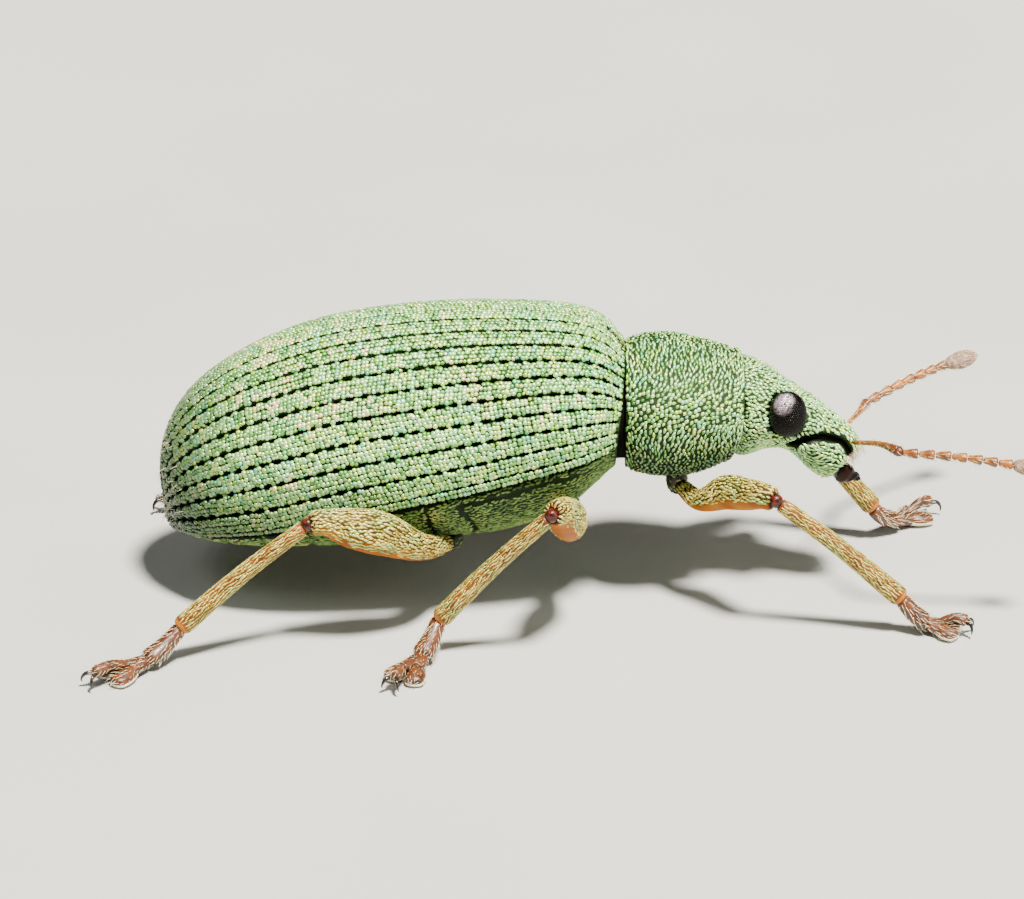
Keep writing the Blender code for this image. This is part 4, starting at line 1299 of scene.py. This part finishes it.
# %% leg materials
thigh_paint = Paint("thigh_horn", roughness=0.55, specular_ior_level=0.1)
thigh_run = thigh_paint.attribute("run")
amber = thigh_paint.two_tone(0.3, 0.35, 0.7, rgb(168, 100, 0), rgb(136, 72, 0))
amber = thigh_paint.blend(thigh_paint.attribute("tone").step(0.30, 0.62), amber, rgb(58, 40, 12))
amber = thigh_paint.blend(thigh_run.step(0.965, 0.985), amber, rgb(60, 16, 10))
thigh_paint.colour(thigh_paint.blend(thigh_run.step(0.12, 0.02), amber, rgb(40, 26, 14)))
thigh_paint.grain(0.03, 0.005, 0.5)
knee_paint = mottled("knee_horn", rgb(34, 6, 3), rgb(92, 24, 8), blotches=(0.06, 0.4, 0.65),
                     grain=(0.05, 0.010, 0.8), roughness=0.3, specular_ior_level=0.4)
shin_paint = Paint("shin_horn", roughness=0.42, specular_ior_level=0.35)
shin_brown = shin_paint.two_tone(0.2, 0.35, 0.7, rgb(124, 64, 4), rgb(74, 32, 4))
shin_rim = shin_paint.attribute("run").step(0.95, 0.97)
shin_paint.colour(shin_paint.blend(shin_rim, shin_brown, rgb(176, 104, 16)))
shin_paint.grain(0.03, 0.005, 0.5)
foot_paint = mottled("foot_horn", rgb(96, 48, 18), rgb(56, 26, 9), blotches=(0.12, 0.35, 0.7),
                     grain=(0.02, 0.004, 0.6), roughness=0.42, coat_weight=0.1)
pad_paint = mottled("pad_felt", rgb(208, 196, 170), rgb(238, 232, 214), blotches=(0.03, 0.4, 0.7),
                    grain=(0.012, 0.006, 0.8), roughness=0.8)
leg_scale_paint = Paint("leg_scales", roughness=0.32, metallic=0.35)
leg_tone = leg_scale_paint.attribute("tone")
leg_pale = leg_scale_paint.blend(leg_tone, rgb(140, 120, 24), rgb(228, 212, 116))
leg_green = leg_scale_paint.blend(leg_tone, rgb(106, 124, 36), rgb(204, 214, 126))
leg_scale_paint.colour(leg_scale_paint.two_tone(0.3, 0.45, 0.62, leg_pale, leg_green))
print("leg materials:", [paint.material.name for paint in (thigh_paint, knee_paint, shin_paint, foot_paint)])

# %% leg forms
THIGH_HALF = {"front": 0.205, "mid": 0.24, "hind": 0.255}
BARE_BELOW = {"front": 0.35, "mid": 0.88, "hind": 0.76}
HIP_SHIFT = {"front": (0.11, -0.09), "mid": (0.11, -0.09), "hind": (0.27, 0.05)}
KNEE_RADIUS = 0.085


def thigh_tube(course, pair):
    """A club-shaped thigh from hip to knee, thickest at its bow."""
    half = THIGH_HALF[pair]
    aside, rise = HIP_SHIFT[pair]
    hip, bow, knee, ankle = (np.array(point) for point in course[:4])
    outward = math.copysign(1.0, hip[1])
    away = unit(knee - ankle) * 0.08
    start = hip + (bow - hip) * 0.45 + np.array([0.0, outward * aside, rise])
    return Tube([
        (*(hip + (start - hip) * 0.05 + UP * 0.05), 0.085, 0.085),
        (*start, half * 0.62, half * 0.62),
        (*bow, half * 0.92, half),
        (*(bow + (knee - bow) * 0.45 + away * 0.5), half * 0.84, half * 0.92),
        (*(bow + (knee - bow) * 0.80 + away), 0.150, 0.160),
        (*(knee + away * 0.4), 0.130, 0.140),
    ], 0.04, 0.05)


def knee_ball(course):
    """A dark glossy condyle between thigh and shin."""
    knee, ankle = np.array(course[2]), np.array(course[3])
    return Ball(knee + unit(knee - ankle) * 0.01, (KNEE_RADIUS, KNEE_RADIUS, KNEE_RADIUS))


def shin_tube(course):
    """A straight shin, a little bowed up in its middle."""
    knee, ankle = np.array(course[2]), np.array(course[3])
    middle = knee + (ankle - knee) * 0.5 + UP * 0.04
    start = knee + unit(ankle - knee) * 0.03
    return Tube([(*start, 0.080, 0.084), (*middle, 0.096, 0.100), (*ankle, 0.116, 0.120)], 0.04, 0.04)


for leg, course in LEGS.items():
    print(leg, "thigh", round(thigh_tube(course, leg.split("_")[0]).length, 2), "mm")

# %% foot forms
# rows of the foot: share of its length, sideways, height, half width, half height
FIRST_END = (0.35, 0, 0.125, 0.145, 0.105)
SECOND = ((0.33, 0, 0.125, 0.09, 0.08), (0.45, 0, 0.11, 0.13, 0.085), (0.55, 0, 0.10, 0.165, 0.085))
CLAW_JOINT = ((0.52, 0, 0.15, 0.055, 0.055), (0.72, 0, 0.22, 0.060, 0.060), (0.91, 0, 0.19, 0.085, 0.085))
LOBE = ((0.50, 0.04, 0.10, 0.08, 0.07), (0.63, 0.11, 0.085, 0.12, 0.075), (0.77, 0.17, 0.07, 0.10, 0.06))
HOOK = (
    (0.88, 0.03, 0.18, 0.030, 0.030), (0.945, 0.07, 0.18, 0.023, 0.023),
    (0.975, 0.10, 0.12, 0.014, 0.014), (0.965, 0.11, 0.06, 0.005, 0.005),
)


def foot_parts(course):
    """Tubes of one foot: two cones, two pads, the claw joint and two hooks."""
    ankle = np.array(course[3])
    claw = np.array(course[4])
    ahead = claw - ankle[:2]
    length = np.linalg.norm(ahead)
    ahead = ahead / length

    def along_foot(rows, sign=1):
        """Stations in space from rows of share, sideways, height, half width and half height."""
        return [(ankle[0] + ahead[0] * length * share - ahead[1] * sideways * sign,
                 ankle[1] + ahead[1] * length * share + ahead[0] * sideways * sign, height, wide, high)
                for share, sideways, height, wide, high in rows]

    first = ((-0.04, 0, ankle[2] + 0.02, 0.088, 0.085), (0.14, 0, ankle[2] * 0.62, 0.110, 0.102), FIRST_END)
    parts = {
        "first": (along_foot(first), foot_paint),
        "second": (along_foot(SECOND), foot_paint),
        "claw_joint": (along_foot(CLAW_JOINT), foot_paint),
    }
    for name, sign in SIDES[::-1]:
        lobe = along_foot(LOBE, sign)
        parts["lobe_" + name] = (lobe, foot_paint)
        parts["pad_" + name] = ([(x, y, z - 0.030, w * 1.04, h * 0.60) for x, y, z, w, h in lobe], pad_paint)
        parts["hook_" + name] = (along_foot(HOOK, sign), black_paint)
    return {name: (Tube(stations, 0.12, 0.16), paint) for name, (stations, paint) in parts.items()}


print("a hook is", round(math.dist(HOOK[0][:3], HOOK[-1][:3]), 2), "of the foot's length")

# %% legs
LIMB_ROWS = 110
# how far round from its top a foot's joint is haired, as no hair grows on the sole
FIRST_HAIRED, OTHERS_HAIRED = 2.4, 1.75
limb_ring = full_turn(40)
limb_shares = np.linspace(0.002, 0.998, LIMB_ROWS)
# 1 on the top of a thigh, 0 on its underside
above = np.append(np.tile(0.5 + 0.5 * np.cos(limb_ring), LIMB_ROWS), [0.5, 0.5])
for leg, course in LEGS.items():
    pair = leg.split("_")[0]
    thigh, shin = thigh_tube(course, pair), shin_tube(course)
    skin("thigh_horn_" + leg, thigh, limb_shares, limb_ring, thigh_paint,
         nodes=("femur_" + leg,), slot="leg", extra={"tone": above})
    share, angle = spread(thigh, (0.05, 0.985), AROUND, 0.035)
    keep = random.random(len(share)) < np.clip((np.cos(angle) + BARE_BELOW[pair]) * 4.0, 0.0, 1.0)
    grow("thigh_scales_" + leg, LANCE, thigh, (share[keep], angle[keep]), leg_scale_paint,
         size=(0.080, 0.027, 0.008), vary=(0.2, 0.2, 0), stray=10, slot="leg")
    skin("knee_horn_" + leg, knee_ball(course), np.linspace(0.01, 0.99, 24), coarse_ring, knee_paint,
         slot="leg")
    skin("shin_horn_" + leg, shin, limb_shares, limb_ring, shin_paint, nodes=("tibia_" + leg,), slot="leg")
    grow("shin_scales_" + leg, LANCE, shin, spread(shin, (0.04, 0.945), AROUND, 0.031), leg_scale_paint,
         size=(0.095, 0.015, 0.008), vary=(0.2, 0.25, 0), stray=9, slot="leg")
    for name, (tube, paint) in foot_parts(course).items():
        nodes = ("tarsus_" + leg,) if name == "first" else ()
        skin(f"foot_{name}_{leg}", tube, np.linspace(0.004, 0.996, 26), coarse_ring, paint,
             nodes=nodes, slot="foot")
        if paint is foot_paint:
            haired(f"foot_hair_{name}_{leg}", tube, 0.042, 0.095, 0.035, slot="foot",
                   around=FIRST_HAIRED if name == "first" else OTHERS_HAIRED)
    print(leg, "shin", round(shin.length, 2), "mm")

# %% [markdown]
# ## Scutellum
#
# A small dark shield fills the notch between the covers' front corners. It is a short flat tube, as its
# rim is hidden under the covers.

# %% scutellum
shield_top = hind.point(0.0, 0.0)
shield_tip = hind.point(SCUTELLUM_SHARE * 0.8, 0.0)
shield = Tube([
    (*(shield_top - UP * 0.05), 0.12, 0.05),
    (*((shield_top + shield_tip) / 2 - UP * 0.03), 0.08, 0.05),
    (*(shield_tip - UP * 0.04), 0.02, 0.03),
], 0.1, 0.1)
skin("scutellum_shield", shield, np.linspace(0.01, 0.99, 24), coarse_ring, black_paint,
     nodes=("scutellum",), slot="scutellum")
grow("scutellum_scales", LANCE, shield, spread(shield, (0.04, 0.9), (-1.2, 1.2), 0.045), belly_paint,
     size=(0.07, 0.028, 0.010), vary=(0.2, 0, 0), stray=20, tilt=(8, 0), slot="scutellum")
print("scutellum", round(shield.length, 2), "mm")

# %% [markdown]
# ## Floor, light and camera
#
# The model stands on a plain pale table. The key lamp is nearly overhead and a hand's length away, which
# lets the domed scales throw small shadows. A weak wide lamp before the head and one behind the tail open
# the shade. The camera looks from the beetle's right side and 25 degrees above, through a long lens.

# %% floor and lamps
floor_paint = Paint("pale_floor", roughness=0.7)
floor_paint.colour(floor_paint.two_tone(6.0, 0.3, 0.8, rgb(178, 178, 172), rgb(185, 185, 179)))
floor_mesh = bpy.data.meshes.new("floor")
FLOOR_HALF = 0.6
floor_corners = [(x * FLOOR_HALF, y * FLOOR_HALF, 0) for x, y in ((-1, -1), (1, -1), (1, 1), (-1, 1))]
floor_mesh.from_pydata(floor_corners, [], [(0, 1, 2, 3)])
floor_mesh.materials.append(floor_paint.material)
floor = bpy.data.objects.new("floor", floor_mesh)
bpy.context.scene.collection.objects.link(floor)

world = bpy.data.worlds.new("studio")
world.use_nodes = True
sky = world.node_tree.nodes["Background"]
sky.inputs["Color"].default_value = (0.90, 0.94, 1.0, 1.0)
sky.inputs["Strength"].default_value = 0.15
bpy.context.scene.world = world


def lamp(name, place, size, power, tint=(1.0, 1.0, 1.0)):
    """A round soft lamp that looks at the model's middle. Places and sizes are in metres."""
    data = bpy.data.lights.new(name, "AREA")
    data.shape = "DISK"
    data.size = size
    data.energy = power
    data.color = tint
    thing = bpy.data.objects.new(name, data)
    thing.location = place
    thing.rotation_euler = (-Vector(place)).to_track_quat("-Z", "Y").to_euler()
    bpy.context.scene.collection.objects.link(thing)


KEY_PLACE = (0.055, -0.07, 0.255)
lamp("key", KEY_PLACE, 0.045, 3.5, (1.0, 0.97, 0.90))
lamp("side", (0.22, -0.12, 0.12), 0.12, 0.25)
lamp("rear", (-0.12, -0.10, 0.20), 0.10, 0.10)
print("key lamp", round(math.hypot(*KEY_PLACE) * 1000), "mm away")

# %% camera
PIXEL = 0.012 * MM
FRAME_WIDTH, FRAME_HEIGHT = 1024, 899
AXIS_COLUMN, FLOOR_ROW = 569, 575
CAMERA_DISTANCE = 0.08
TILT = math.radians(25)
forward = Vector((0.0, math.cos(TILT), -math.sin(TILT)))
upward = Vector((0.0, math.sin(TILT), math.cos(TILT)))
rightward = Vector((1.0, 0.0, 0.0))
camera_data = bpy.data.cameras.new("camera")
camera_data.sensor_width = 36
camera_data.lens = 36 * CAMERA_DISTANCE / (FRAME_WIDTH * PIXEL)
camera_data.clip_start = 0.001
camera_data.clip_end = 10.0
camera = bpy.data.objects.new("camera", camera_data)
aside, above_floor = (FRAME_WIDTH / 2 - AXIS_COLUMN) * PIXEL, (FLOOR_ROW - FRAME_HEIGHT / 2) * PIXEL
place = rightward * aside + upward * above_floor - forward * CAMERA_DISTANCE
camera.matrix_world = Matrix.Translation(place) @ Matrix((rightward, upward, -forward)).transposed().to_4x4()
bpy.context.scene.collection.objects.link(camera)
bpy.context.scene.camera = camera
print("lens", round(camera_data.lens), "mm")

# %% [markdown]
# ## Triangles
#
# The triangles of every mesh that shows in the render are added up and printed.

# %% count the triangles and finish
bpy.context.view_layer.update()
triangles = sum(sum(len(face.vertices) - 2 for face in thing.data.polygons)
                for thing in bpy.data.objects if thing.type == "MESH" and not thing.hide_render)
print("triangles", triangles)
